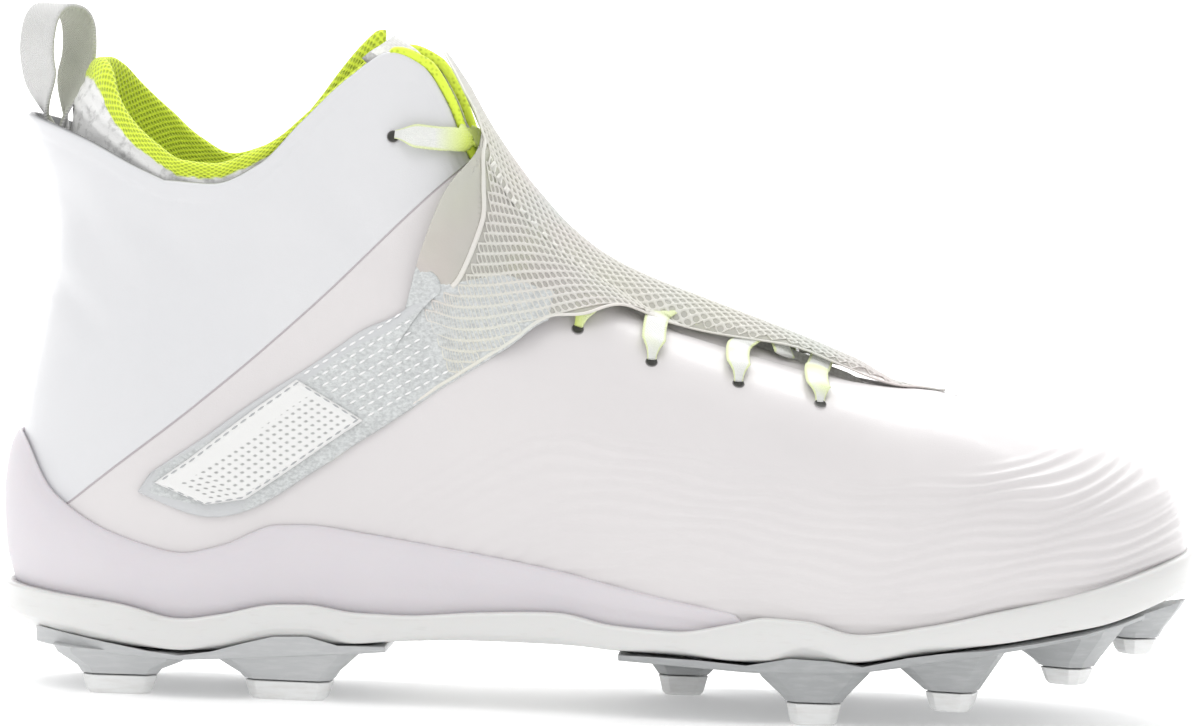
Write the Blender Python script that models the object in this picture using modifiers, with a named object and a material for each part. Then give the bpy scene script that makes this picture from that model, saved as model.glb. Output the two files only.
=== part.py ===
"""American football cleat, right shoe: mid-height moulded boot with a plated sole.

Work frame in millimetres: x from the heel (0) to the toe (304), y to the inner side of the foot
(the outer side is -y), z up from the stud tips. Every wall follows skin(), the surface of the
upper, so a change of one table moves the sole, the lining and the covers with it.
"""
import math

import bmesh
import bpy
import numpy as np

MM = 0.001
CENTRE = (152.4, -1.4, 0.0)   # work-frame point that becomes the part's origin, under its middle
GAP = 0.4                 # clearance between pieces that touch in the real shoe
WALL = 2.0                # wall of the upper
LENGTH = 302.0            # heel to toe of the upper's own outline
HEEL_X = 42.0             # the heel is swept round a centre at this x
MERGE = 1e-7              # metres: points this close are one point
HEEL_FOOT_X = 9.0         # back end of the upper's lower edge
HEEL_RIM_X = 4.0          # back end of its collar
TOE_X = 238.0             # the toe is swept from this x on
THROAT_X = 233.0          # front end of the throat

# The upper: one row per cross-section. top = height of its top edge or ridge, outer and inner =
# half widths at the sole, ridge = y of the middle line, w and h = control shares of the section.
SECTIONS = (
    # x,   top,  outer, inner, ridge, w1,   h1,  w2,   h2,  w3,   h3,  w4
    (42, 129.6, 31.0, 31.0, 0.0, 1.22, .12, 1.15, .50, 0.78, .80, 0.86),
    (54, 129.0, 31.5, 31.0, 0.0, 1.22, .12, 1.13, .50, 0.78, .80, 0.86),
    (66, 134.4, 31.5, 30.0, 0.0, 1.20, .12, 1.10, .50, 0.78, .80, 0.84),
    (76, 145.0, 31.2, 29.0, 0.0, 1.18, .12, 1.06, .46, 0.82, .78, 0.82),
    (88, 157.0, 31.0, 28.0, 0.0, 1.16, .12, 1.06, .42, 0.84, .76, 0.78),
    (98, 163.6, 31.2, 27.0, 0.0, 1.15, .12, 1.08, .40, 0.88, .76, 0.72),
    (106, 160.5, 31.6, 26.5, 0.0, 1.15, .14, 1.10, .42, 0.92, .76, 0.68),
    (112, 152.0, 32.0, 26.3, 0.0, 1.14, .16, 1.12, .44, 0.96, .78, 0.64),
    (118, 138.0, 32.6, 26.5, 0.0, 1.14, .18, 1.14, .48, 0.98, .82, 0.60),
    (128, 124.0, 34.0, 27.0, 0.0, 1.12, .22, 1.16, .54, 0.98, .86, 0.53),
    (142, 110.5, 36.5, 28.6, 0.5, 1.09, .26, 1.14, .62, 0.96, .92, 0.44),
    (160, 100.0, 40.5, 32.5, 1.5, 1.05, .30, 1.10, .72, 0.88, .98, 0.37),
    (180, 92.6, 45.0, 38.0, 2.5, 1.03, .34, 1.05, .82, 0.78, 1.00, 0.31),
    (200, 87.4, 48.5, 43.5, 3.5, 1.01, .38, 1.00, .90, 0.66, 1.00, 0.27),
    (218, 83.6, 50.0, 46.5, 4.5, 1.00, .40, 0.96, .93, 0.56, 1.00, 0.20),
    (228, 82.2, 50.0, 47.2, 5.0, 1.00, .40, 0.94, .94, 0.48, 1.00, 0.11),
    (THROAT_X, 81.8, 49.8, 47.2, 5.5, 1.00, .40, 0.93, .95, 0.45, 1.00, 0.00),
    (TOE_X, 81.2, 49.6, 47.1, 6.0, 1.00, .40, 0.93, .95, 0.45, 1.00, 0.00),
)
SECTION_NAMES = ("x", "top", "outer", "inner", "ridge",
                 "w1", "h1", "w2", "h2", "w3", "h3", "w4")
TIP_SHARES = (1.00, .46, 0.98, 1.00, 0.50, 1.00, 0.00)   # the section at the toe tip
TOE_ROUNDNESS = {-1: 2.05, 1: 2.25}                       # outline exponent, outer and inner

# ridge of the vamp ahead of the throat, and the back line of the heel: (x, z) and (z, x)
RIDGE = ((TOE_X, 81.2), (254, 77.6), (270, 74.6), (288, 73.4), (304, 75.5))
HEEL_BACK = ((20, 9.5), (28, 6.2), (38, 4.0), (50, 3.6), (61, 4.6), (72, 6.0), (84, 8.0),
             (95, 9.8), (106, 11.8), (116, 12.2), (126, 10.4), (136, 7.0), (146, 3.4))
COLLAR_BACK = ((4, 144.6), (12, 142.0), (22, 138.2), (33, 133.0), (42, 129.6))

# The sole along x: under = plate underside, rim_low and rim_top = edges of the plate's side,
# cup = top edge of the midsole's wall, share = how much of that wall there is.
SOLE = (
    # x, under, rim_low, rim_top, cup, share
    (0, 16.5, 19.5, 27.0, 66.0, 1.0),
    (8, 15.0, 18.8, 26.4, 64.5, 1.0),
    (20, 13.6, 17.4, 25.4, 50.0, 1.0),
    (34, 12.8, 15.2, 24.0, 41.2, 1.0),
    (50, 12.2, 12.8, 20.6, 37.0, 1.0),
    (60, 12.6, 14.6, 22.0, 39.2, 1.0),
    (74, 13.8, 18.6, 25.0, 44.8, 1.0),
    (82, 14.2, 18.8, 25.2, 45.0, 1.0),
    (94, 15.2, 16.0, 23.6, 43.6, 1.0),
    (106, 16.4, 17.2, 23.4, 42.0, 1.0),
    (126, 17.4, 18.8, 25.0, 39.2, 1.0),
    (146, 17.6, 19.2, 26.0, 36.0, 1.0),
    (161, 17.0, 17.6, 23.6, 32.8, 1.0),
    (176, 16.6, 18.2, 23.0, 30.0, 0.9),
    (190, 15.8, 16.8, 25.6, 27.6, 0.5),
    (198, 15.6, 17.0, 27.4, 26.0, 0.1),
    (208, 15.8, 20.2, 27.0, 24.6, 0.0),
    (220, 16.6, 17.6, 24.2, 25.0, 0.0),
    (238, 19.4, 21.4, 26.8, 27.6, 0.0),
    (254, 22.2, 22.8, 30.6, 30.4, 0.0),
    (270, 25.0, 25.6, 34.2, 32.0, 0.0),
    (280, 26.8, 27.4, 36.8, 33.4, 0.0),
    (292, 30.2, 31.4, 40.6, 36.0, 0.0),
    (304, 34.6, 36.4, 44.6, 39.8, 0.0),
)
SOLE_NAMES = ("x", "under", "rim_low", "rim_top", "cup", "share")
FLOOR = ((0, 4.0), (230, 3.6), (304, 2.4))       # thickness of the plate's floor
FOAM = ((0, 4.6), (60, 4.4), (230, 2.4), (304, 1.4))   # thickness of the midsole's floor
CUP_WALL = 2.6            # wall of the midsole's cup
CUP_LEVELS = (1.0, .75, .5, .25, 0.0)     # shares of its height, down its inner side
CUP_ROUND = 1.2           # how far its lower edge draws in
CUP_CHAMFER = 0.8         # and over what height
CUP_RISE = 0.2            # least height of its crest over the foam's floor
BARE_OUT, BARE_IN = -1.6, -2.8    # sides of the midsole's floor where it has no cup
RIM_WALL = 2.8            # wall of the plate's side
RIM_ROOM = 0.15           # more room inside it than the clearance
RIM_CHAMFER = 0.8
RIM_FOOT = 1.2            # height over which its lower edge draws in
KEEL_INSET = 6.0          # how far the underside lies inside the plate's outline
INSOLE_THICK = 3.0
INSOLE_ROOM = 1.2

# The gray soleplates: stations along x, where the plate has its own, and their section. The lip
# reaches up to the plate's rim.
HEEL_SOLEPLATE_X = (12, 15.3, 22.6, 31.8, 42, 50, 58, 66, 74, 82, 90, 102)
FOREFOOT_SOLEPLATE_X = (161, 169, 181, 193, 204, 214, 222, 233, 242, 252.8, 265.4, 276.6, 286,
                        292)
SOLEPLATE_DROP = 0.6      # clearance under the plate
SOLEPLATE_THICK = 1.8
SOLEPLATE_BEVEL = 0.5
SOLEPLATE_LEAST = 8.0     # least width
LIP_INSET = 1.5           # outer side of the lip, inside the plate's outline
LIP_DROP = 1.6            # its crest under the rim's lower edge
LIP_FOOT = 4.2            # where it starts to rise, inside the plate's outline
LIP_LEAN = 1.4            # how far its side draws in downward

# Studs: name, x, y, length, width, height of the base's bottom, of the tip's bottom, turn in
# degrees
HEEL_STUDS = (
    ("heel_outer_rear", 33.8, -22.0, 19.0, 13.0, 5.2, 0.0, 4),
    ("heel_outer_front", 77.0, -22.5, 22.0, 13.0, 5.2, 0.0, -3),
    ("heel_inner_rear", 30.5, 21.5, 18.0, 13.0, 5.2, 0.0, -4),
    ("heel_inner_front", 73.5, 20.0, 21.0, 13.0, 5.2, 0.0, 3),
)
FOREFOOT_STUDS = (
    ("ball_outer_rear", 210.0, -38.0, 14.0, 12.0, 6.0, 0.0, 2),
    ("ball_outer_front", 244.4, -35.0, 12.5, 12.0, 9.6, 4.4, -12),
    ("toe_outer_rear", 273.0, -24.0, 12.0, 11.0, 15.6, 11.0, -30),
    ("toe_outer_front", 290.0, -7.0, 11.0, 10.5, 22.0, 17.6, -60),
    ("ball_inner_rear", 174.8, 20.0, 13.0, 12.0, 5.6, 0.0, 4),
    ("ball_inner_mid", 208.5, 33.0, 13.5, 12.0, 6.0, 0.0, 2),
    ("ball_inner_front", 242.0, 33.0, 12.5, 12.0, 9.2, 4.0, 10),
    ("toe_inner", 270.5, 24.0, 12.0, 11.0, 15.2, 10.6, 24),
)
CORNER = 0.42             # share of a stud's half width that its corners cut off
FLARE = ((1.3, 15.0, 8.5), (3.2, 12.5, 6.5))   # a base under the plate: depth, more length, width
SKIRT = (1.6, 2.4, 2.2)   # near its bottom: height, more length, more width
STUD_REACH = 8.0          # the plate's slope is taken this far before and behind a stud
TIP_FIT = (0.4, 0.2)      # a tip under its base: clearance, how much narrower
TIP_ROUND = (1.0, 2.4)    # a tip near its bottom: height, how much narrower
TIP_END = 4.0             # how much narrower its bottom is


def smooth(x, xs, ys):
    """Cubic through the points (xs, ys) with slopes that never overshoot."""
    xs, ys, x = np.asarray(xs, float), np.asarray(ys, float), np.asarray(x, float)
    step = np.diff(xs)
    rise = np.diff(ys) / step
    slope = np.zeros_like(ys)
    same = rise[:-1] * rise[1:] > 0
    w1, w2 = 2 * step[1:] + step[:-1], step[1:] + 2 * step[:-1]
    with np.errstate(divide="ignore", invalid="ignore"):
        mean = (w1 + w2) / (w1 / rise[:-1] + w2 / rise[1:])
    slope[1:-1] = np.where(same, mean, 0.0)
    slope[0], slope[-1] = rise[0], rise[-1]
    x = np.clip(x, xs[0], xs[-1])
    i = np.clip(np.searchsorted(xs, x, side="right") - 1, 0, len(xs) - 2)
    s = (x - xs[i]) / step[i]
    return ((1 + 2 * s) * (1 - s) ** 2 * ys[i] + s * (1 - s) ** 2 * step[i] * slope[i]
            + s * s * (3 - 2 * s) * ys[i + 1] + s * s * (s - 1) * step[i] * slope[i + 1])


def read(table, names, name, x):
    """Smooth value of a named column at x."""
    rows = np.array([[row[names.index("x")], row[names.index(name)]] for row in table], float)
    return smooth(x, rows[:, 0], rows[:, 1])


def pairs(table, x):
    """Smooth value at x of a table of (x, value)."""
    rows = np.array(table, float)
    return smooth(x, rows[:, 0], rows[:, 1])


def sole(name, x):
    return read(SOLE, SOLE_NAMES, name, x)


def floor_top(x):
    return sole("under", x) + pairs(FLOOR, x)


def foam_top(x):
    return floor_top(x) + GAP + pairs(FOAM, x)


def edge(x):
    """Height of the upper's lower edge, on top of the midsole's floor."""
    return foam_top(x) + GAP


def bend(shares, t):
    """Section curve: quartic Bezier from (1, 0) at the sole to (w4, 1) at the top."""
    w1, h1, w2, h2, w3, h3, w4 = shares
    b = [c * t ** k * (1 - t) ** (4 - k) for k, c in enumerate((1, 4, 6, 4, 1))]
    return b[0] + w1 * b[1] + w2 * b[2] + w3 * b[3] + w4 * b[4], \
        h1 * b[1] + h2 * b[2] + h3 * b[3] + b[4]


def shares_at(x):
    return [read(SECTIONS, SECTION_NAMES, n, x) for n in SECTION_NAMES[5:]]


def section(side, x, t):
    """Points of the upper between the heel sweep and the toe sweep."""
    w, h = bend(shares_at(x), t)
    ridge = read(SECTIONS, SECTION_NAMES, "ridge", x)
    half = read(SECTIONS, SECTION_NAMES, "outer" if side < 0 else "inner", x) - side * ridge
    low = edge(x)
    top = read(SECTIONS, SECTION_NAMES, "top", x)
    return np.stack(np.broadcast_arrays(x, ridge + side * half * w, low + (top - low) * h), -1)


def heel(side, angle, t):
    """Points of the heel, its centre section swept to the back line by an angle."""
    w, h = bend(shares_at(HEEL_X), t)
    half = read(SECTIONS, SECTION_NAMES, "outer" if side < 0 else "inner", HEEL_X)
    reach = np.sin(angle)
    foot_x = HEEL_X - (HEEL_X - HEEL_FOOT_X) * reach
    rim_x = HEEL_X - (HEEL_X - HEEL_RIM_X) * reach
    low, top = edge(foot_x), pairs(COLLAR_BACK, rim_x)
    z = low + (top - low) * h
    x = HEEL_X - (HEEL_X - pairs(HEEL_BACK, z)) * reach
    return np.stack(np.broadcast_arrays(x, side * half * w * np.cos(angle), z), -1)


def toe(side, angle, t):
    """Points of the toe, swept from the ridge over a rounded outline."""
    turn = np.sin(angle) ** 2
    at = [a + (b - a) * turn for a, b in zip(shares_at(TOE_X), TIP_SHARES)]
    w, h = bend(at, t)
    power = 2.0 / TOE_ROUNDNESS[side]
    ridge = read(SECTIONS, SECTION_NAMES, "ridge", TOE_X)
    half = read(SECTIONS, SECTION_NAMES, "outer" if side < 0 else "inner", TOE_X) - side * ridge
    x = TOE_X + (LENGTH - TOE_X) * w * np.abs(np.sin(angle)) ** power
    y = ridge + side * half * w * np.abs(np.cos(angle)) ** power
    low = edge(x)
    return np.stack(np.broadcast_arrays(x, y, low + (pairs(RIDGE, x) - low) * h), -1)


HEEL_ANGLES = np.radians([90, 72, 54, 36, 18])
BODY_X = np.array([42, 50, 58, 66, 74, 82, 90, 97, 102, 107, 111, 115, 119, 124, 131, 139, 148,
                   158, 169, 181, 193, 204, 214, 222, 228, THROAT_X], float)
TOE_ANGLES = np.radians([0, 12, 24, 36, 48, 60, 75, 90])
COLUMNS = ([("heel", a) for a in HEEL_ANGLES] + [("body", x) for x in BODY_X]
           + [("toe", a) for a in TOE_ANGLES])
LAST_COLUMN = len(COLUMNS) - 1


def column(side, index, t):
    """Points of one column of the upper at section shares t."""
    kind, value = COLUMNS[index]
    t = np.asarray(t, float)
    if kind == "heel":
        return heel(side, value, t)
    return section(side, value, t) if kind == "body" else toe(side, value, t)


def loop_columns():
    """Once round the shoe: outer side from heel to toe, then the inner side back."""
    return [(-1, i) for i in range(LAST_COLUMN + 1)] + \
        [(1, i) for i in range(LAST_COLUMN - 1, 0, -1)]


LOOP = loop_columns()
DENSE = np.linspace(0, 1, 61)
FAN = {key: column(key[0], key[1], DENSE) for key in LOOP + [(1, 0), (1, LAST_COLUMN)]}
FEATHER = np.array([FAN[key][0] for key in LOOP])


def outward():
    """Horizontal direction away from the shoe at every column of the loop."""
    along = np.roll(FEATHER, -1, 0) - np.roll(FEATHER, 1, 0)
    out = np.stack([along[:, 1], -along[:, 0]], 1)
    return out / np.linalg.norm(out, axis=1)[:, None]


OUT = dict(zip(LOOP, outward()))
OUT[(1, 0)], OUT[(1, LAST_COLUMN)] = OUT[(-1, 0)], OUT[(-1, LAST_COLUMN)]


def skin(key, z, out=0.0):
    """Point of the upper's outer surface at height z of one column, moved outward."""
    points = FAN[key]
    rising = np.maximum.accumulate(points[:, 2]) + np.arange(len(points)) * 1e-7
    x = np.interp(z, rising, points[:, 0])
    y = np.interp(z, rising, points[:, 1])
    return np.array([x + OUT[key][0] * out, y + OUT[key][1] * out, z])


def new_object(name, vertices, faces, material, where):
    """Mesh object from points in work-frame millimetres."""
    mesh = bpy.data.meshes.new(name)
    mesh.from_pydata(((np.asarray(vertices) - CENTRE) * MM).tolist(), [], faces)
    mesh.validate()
    piece = bpy.data.objects.new(name, mesh)
    where.objects.link(piece)
    bpy.context.view_layer.objects.active = piece
    mesh.materials.append(material)
    return piece


def outward_faces(piece, join=MERGE):
    """Joins the points that meet and turns every face to the outside."""
    work = bmesh.new()
    work.from_mesh(piece.data)
    bmesh.ops.remove_doubles(work, verts=work.verts, dist=join)
    bmesh.ops.recalc_face_normals(work, faces=work.faces)
    work.to_mesh(piece.data)
    work.free()
    return piece


def tube(name, rings, material, where, cyclic=False):
    """Closed body through rings of equal point count; open ends are capped."""
    rings = np.asarray(rings)
    n, k = rings.shape[:2]
    faces = []
    for i in range(n if cyclic else n - 1):
        j = (i + 1) % n
        faces += [(i * k + a, i * k + (a + 1) % k, j * k + (a + 1) % k, j * k + a)
                  for a in range(k)]
    if not cyclic:
        faces += [tuple(range(k)), tuple(reversed(range((n - 1) * k, n * k)))]
    return outward_faces(new_object(name, rings.reshape(-1, 3), faces, material, where))


def shell(name, profile, material, where):
    """Closed body once round the shoe, filled across its first and its last ring. profile gives
    the body's (height, distance out from the upper) at x, from its underside to its top."""
    rings = np.array([[skin(key, *spot) for spot in profile(FAN[key][0, 0])] for key in LOOP])
    rings = rings.swapaxes(0, 1)
    n, k = rings.shape[:2]
    faces = [(i * k + a, i * k + (a + 1) % k, (i + 1) * k + (a + 1) % k, (i + 1) * k + a)
             for i in range(n - 1) for a in range(k)]
    for base in (0, (n - 1) * k):
        for a in range(LAST_COLUMN):
            near, far = (a, a + 1), (-a % k, -(a + 1) % k)
            quad = [base + near[0], base + near[1], base + far[1], base + far[0]]
            faces.append(tuple(dict.fromkeys(quad)))
    return outward_faces(new_object(name, rings.reshape(-1, 3), faces, material, where))


def paint(name, colour, rough):
    """Plain material."""
    material = bpy.data.materials.new(name)
    material.use_nodes = True
    bsdf = material.node_tree.nodes["Principled BSDF"]
    bsdf.inputs["Base Color"].default_value = (*colour, 1)
    bsdf.inputs["Roughness"].default_value = rough
    return material


UPPER_ROWS = np.array([0, .07, .15, .24, .34, .45, .57, .7, .84, 1.0])
UPPER_MERGE = 2e-5        # metres: the two sides meet along the ridge of the vamp


def build_upper(where):
    """The shell: both sides as one surface with real thickness, open at top and bottom."""
    points = [column(side, i, UPPER_ROWS) for side, i in LOOP]
    k, m = len(points), len(UPPER_ROWS)
    faces = []
    for a in range(k):
        b = (a + 1) % k
        faces += [(a * m + r, b * m + r, b * m + r + 1, a * m + r + 1) for r in range(m - 1)]
    piece = new_object("upper", np.concatenate(points), faces,
                       paint("upper", (.86, .84, .85), .5), where)
    outward_faces(piece, UPPER_MERGE)
    wall = piece.modifiers.new("wall", "SOLIDIFY")
    wall.thickness, wall.offset, wall.use_even_offset = WALL * MM, -1.0, True
    return piece


def plate_outside(x):
    """How far the plate's side stands out from the upper, past the midsole's cup."""
    return GAP + RIM_ROOM + sole("share", x) * (CUP_WALL + GAP) + RIM_WALL


def plate_profile(x):
    """Tray: underside, wave-edged rim, floor."""
    low, top, floor = sole("rim_low", x), sole("rim_top", x), floor_top(x)
    outside = plate_outside(x)
    inside = outside - RIM_WALL
    return ((sole("under", x), outside - KEEL_INSET), (low, outside - RIM_CHAMFER + 0.1),
            (low + RIM_FOOT, outside), (top - RIM_CHAMFER, outside), (top, outside - RIM_CHAMFER),
            (top, inside), ((top + floor) / 2, inside), (floor, inside))


def midsole_profile(x):
    """Foam floor with the raised wall round the heel and along both sides."""
    low, floor, share = floor_top(x) + GAP, foam_top(x), sole("share", x)
    foot = low + CUP_CHAMFER
    if share > .01:
        crest = floor + CUP_RISE + min(1.0, share / 0.5) ** 2 * max(sole("cup", x) - floor, 1.0)
        out = GAP + max(.3, share * CUP_WALL) - RIM_ROOM
        outer = [(floor + f * (crest - floor), out) for f in (.2, .5)]
        bulge = max(floor + .85 * (crest - floor), crest - 1.5)
        inner = [(floor + f * (crest - floor), GAP) for f in CUP_LEVELS]
        return ((low, out - CUP_ROUND), (foot, out), *outer, (bulge, out),
                (crest, GAP + .9 * share + .1), *inner)
    crest = floor + CUP_RISE
    steps = [(crest - .2 * (1 - f), BARE_IN - .3 * (1 - f)) for f in CUP_LEVELS]
    return ((low, BARE_OUT - CUP_ROUND), (foot, BARE_OUT), (foot + .06, BARE_OUT),
            (foot + .15, BARE_OUT), (foot + .3, BARE_OUT), (crest, BARE_IN + .4), *steps)


def insole_profile(x):
    """Loose inner sole, bevelled above and below."""
    low, inset = edge(x), -(WALL + INSOLE_ROOM)
    top = low + INSOLE_THICK
    return ((low, inset - .8), (low + .8, inset), (top - .5, inset), (top, inset - .8))


def plate_line(side, inset, name, drop):
    """A line under the plate on one side, from heel to toe: its outline drawn in by inset, at
    drop below a height of the sole."""
    feet = np.array([FAN[(side, i)][0] for i in range(LAST_COLUMN + 1)])
    feet[:, 2] = sole(name, feet[:, 0]) - drop
    for i, point in enumerate(feet):
        point[:2] += OUT[(side, i)] * (plate_outside(point[0]) - inset)
    return feet


def soleplate(name, xs, material, where):
    """Thin plate under the sole; both its edges rise to a lip under the rim of the plate."""
    lines = [plate_line(side, *spot) for side in (-1, 1) for spot in
             ((LIP_INSET, "rim_low", LIP_DROP), (LIP_FOOT, "under", SOLEPLATE_DROP))]
    rings = []
    for x in xs:
        lip_a, flat_a, lip_b, flat_b = [[x, np.interp(x, line[:, 0], line[:, 1]),
                                         np.interp(x, line[:, 0], line[:, 2])] for line in lines]
        short = max(0.0, SOLEPLATE_LEAST - (flat_b[1] - flat_a[1])) / 2
        flat_a[1], flat_b[1] = flat_a[1] - short, flat_b[1] + short
        low = min(flat_a[2], flat_b[2]) - SOLEPLATE_THICK
        a, b = lip_a[1] + LIP_LEAN, lip_b[1] - LIP_LEAN
        rings.append([lip_a, flat_a, flat_b, lip_b,
                      (x, b, low + SOLEPLATE_BEVEL), (x, b - LIP_LEAN, low),
                      (x, a + LIP_LEAN, low), (x, a, low + SOLEPLATE_BEVEL)])
    return tube(name, rings, material, where)


def prism(name, spot, levels, material, where):
    """Faceted stud: eight-sided rings (height, length, width, slope along x) round one spot,
    turned."""
    x0, y0, turn = spot
    c, s = math.cos(math.radians(turn)), math.sin(math.radians(turn))
    rings = []
    for z, length, width, tilt in levels:
        a, b = length / 2, width / 2
        cut = min(a, b) * CORNER
        corners = ((-a, -b + cut), (-a + cut, -b), (a - cut, -b), (a, -b + cut),
                   (a, b - cut), (a - cut, b), (-a + cut, b), (-a, b - cut))
        rings.append([(x0 + u * c - v * s, y0 + u * s + v * c, z + tilt * (u * c - v * s))
                      for u, v in corners])
    return tube(name, rings, material, where)


def build_outsole(name, xs, studs, white, gray, where, cutters):
    """Gray soleplate with one faceted base a stud, joined, and a white tip under each."""
    piece = soleplate(name, xs, gray, where)
    for label, x, y, length, width, base, tip, turn in studs:
        under = sole("under", x)
        rise = sole("under", x + STUD_REACH) - sole("under", x - STUD_REACH)
        tilt = float(rise) / (2 * STUD_REACH)
        levels = [(under - drop, length + more, width + wider, tilt)
                  for drop, more, wider in FLARE]
        levels += [(base + SKIRT[0], length + SKIRT[1], width + SKIRT[2], tilt / 3),
                   (base, length, width, 0)]
        block = prism("base_" + label, (x, y, turn), levels, gray, cutters)
        block.hide_render, block.display_type = True, "WIRE"
        join = piece.modifiers.new("base_" + label, "BOOLEAN")
        join.operation, join.object, join.solver = "UNION", block, "EXACT"
        prism("tip_" + label, (x, y, turn),
              [(z, length - less, width - less, 0) for z, less in
               ((base - TIP_FIT[0], TIP_FIT[1]), (tip + TIP_ROUND[0], TIP_ROUND[1]),
                (tip, TIP_END))], white, where)
    return piece


def wrap(side, x, t, out=0.0):
    """Point of the upper at x and section share t, moved out along its own normal."""
    d = 1e-3
    t0, t1 = max(t - d, 0.0), min(t + d, 1.0)
    along = section(side, x + d, t) - section(side, x - d, t)
    up = section(side, x, t1) - section(side, x, t0)
    normal = np.cross(along, up) * side * -1.0
    return section(side, x, t) + normal / np.linalg.norm(normal) * out


def share_at(side, x, z):
    """Section share t at which the upper's side reaches height z."""
    heights = section(side, x, DENSE)[:, 2]
    return float(np.interp(z, np.maximum.accumulate(heights), DENSE))


# Middle line of the tongue's face, from the vamp up to its top: (x, z)
INSTEP = ((250, 78.0), (236, 79.6), (222, 83.4), (202, 91.0), (177, 99.8), (160, 106.0),
          (150, 111.0), (140, 118.6), (132, 127.0), (122, 138.6), (114, 149.6), (107, 160.0),
          (101, 167.0))


def instep_line():
    """Dense points of the middle line and its normals, in the plane y = 0."""
    rows = np.array(INSTEP, float)
    reach = np.concatenate([[0], np.cumsum(np.linalg.norm(np.diff(rows, axis=0), axis=1))])
    at = np.linspace(0, reach[-1], 400)
    points = np.stack([smooth(at, reach, rows[:, 0]), smooth(at, reach, rows[:, 1])], 1)
    along = np.gradient(points, axis=0)
    along /= np.linalg.norm(along, axis=1)[:, None]
    normals = np.stack([-along[:, 1], along[:, 0]], 1)
    return points, along, normals * np.sign(normals[:, 1])[:, None]


LINE, LINE_ALONG, LINE_NORMAL = instep_line()


def over(x, q, out):
    """Surface over the whole instep: q runs from -2 (outer sole edge) through -1 and 1 (edges of
    the throat) to 2 (inner sole edge). Between the edges it follows the tongue's crown."""
    if abs(q) >= 1:
        side = -1 if q < 0 else 1
        return wrap(side, x, 2 - abs(q), out)
    a, b = section(-1, x, 1.0), section(1, x, 1.0)
    middle = np.array([(a[0] + b[0]) / 2, (a[2] + b[2]) / 2])
    off = np.abs(np.einsum("ij,ij->i", LINE - middle, LINE_ALONG))
    near = int(np.argmin(off + 0.02 * np.linalg.norm(LINE - middle, axis=1)))
    normal = LINE_NORMAL[near]
    rise = float((LINE[near] - middle) @ normal)
    s = (q + 1) / 2
    lift = 4 * s * (1 - s) * rise + out
    point = a + (b - a) * s
    return point + np.array([normal[0] * lift, 0.0, normal[1] * lift])


def sheet(name, low, top, material, where):
    """Closed sheet from two grids of points, its lower and its upper face, row by row."""
    rings = [list(a) + list(b)[::-1] for a, b in zip(low, top)]
    return tube(name, rings, material, where)


TONGUE_X = (226, 217, 205, 190, 174, 158, 144, 133, 124, 117, 111, 106, 101)
TONGUE_TOP = (-6.0, 3.6)          # how far the tongue goes on past the shell's peak, x and z
TONGUE_FRONT = ((4.0, -3.2), (12.0, -4.4))     # its two rows under the vamp, x and z
TONGUE_ROOM = 0.9                 # more room under the wall than the clearance
TONGUE_THICK = 3.2
# across the tongue: place q, and the share of its drop under the wall
TONGUE_ACROSS = ((-1.0, 1), (-.8, .7), (-.4, .2), (0, 0), (.4, .2), (.8, .7), (1.0, 1))
FLAP = 0.05                       # share of the section that the tongue's sides reach down


def build_tongue(where):
    """Padded tongue: crowned between the throat's edges, its sides tucked inside the wall."""
    under = WALL + GAP + TONGUE_ROOM
    spots = ((-1 - FLAP, 1), *TONGUE_ACROSS, (1 + FLAP, 1))
    top, low = [], []
    for x in TONGUE_X:
        top.append([over(x, q, -under * k) for q, k in spots])
        low.append([over(x, q, -under * k - TONGUE_THICK) for q, k in spots])
    step = np.array([TONGUE_TOP[0], 0.0, TONGUE_TOP[1]])
    for rows in (top, low):
        first, ends = rows[0], rows[-1]
        for dx, dz in TONGUE_FRONT:
            rows.insert(0, [p + (dx, 0.0, dz) for p in first])
        rows.append([p + step * .6 for p in ends])
        rows.append([p * (1, .96, 1) + step + (0, 0, .6) for p in ends])
    return sheet("tongue", low, top, paint("tongue", (.62, .64, .62), .9), where)


# Padded cuff: its top edge by x, the line of its back face, and the room left for the pull loop
SLEEVE_RIM = ((10, 160.5), (20, 161.0), (26, 151.5), (33, 144.5), (40, 139.5), (46, 136.0),
              (54, 135.0), (62, 138.0), (70, 143.0), (76, 150.0), (82, 160.0), (90, 168.0))
SLEEVE_BACK = ((104, 15.4), (118, 17.6), (132, 16.4), (140, 14.8), (147, 15.4), (154, 17.6),
               (162, 20.6))
SLEEVE_THICK = 3.4
SLEEVE_LOW = 108.0
SLEEVE_FRONT_X = 82.0
SLEEVE_RIM_X = 14.0               # back end of its top edge
SLEEVE_ROOM = 0.3                 # more room inside the wall than the clearance
SLEEVE_LEAN = 0.06                # how much it leans in per mm over the collar
SLEEVE_ROLL = ((4.0, 0.0), (0.9, 0.3))         # outside of the rolled edge: depth under it, in
SLEEVE_TUCK = 5.0                 # height of the rolled edge on its inner side
SLEEVE_SWELL = 0.6


def cuff(side, index, z, depth):
    """Point of the cuff's face at height z, depth measured inwards from its outer face."""
    kind, value = COLUMNS[index]
    inside = WALL + GAP + SLEEVE_ROOM + depth
    top = float(pairs(COLLAR_BACK, HEEL_X)) - 0.5
    if kind == "body":
        t = share_at(side, value, z)
        ceiling = float(section(side, value, 1.0)[2])
        p = section(side, value, min(t, .99)) if z < ceiling else section(side, value, .99)
        width = abs(p[1]) - inside - SLEEVE_LEAN * max(0.0, z - ceiling)
        return np.array([value, side * width, z])
    t = share_at(side, HEEL_X, min(z, top))
    half = abs(section(side, HEEL_X, t)[1]) - inside - SLEEVE_LEAN * max(0.0, z - top)
    back = float(pairs(SLEEVE_BACK, z)) + depth
    return np.array([HEEL_X - (HEEL_X - back) * math.sin(value), side * half * math.cos(value), z])


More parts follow.
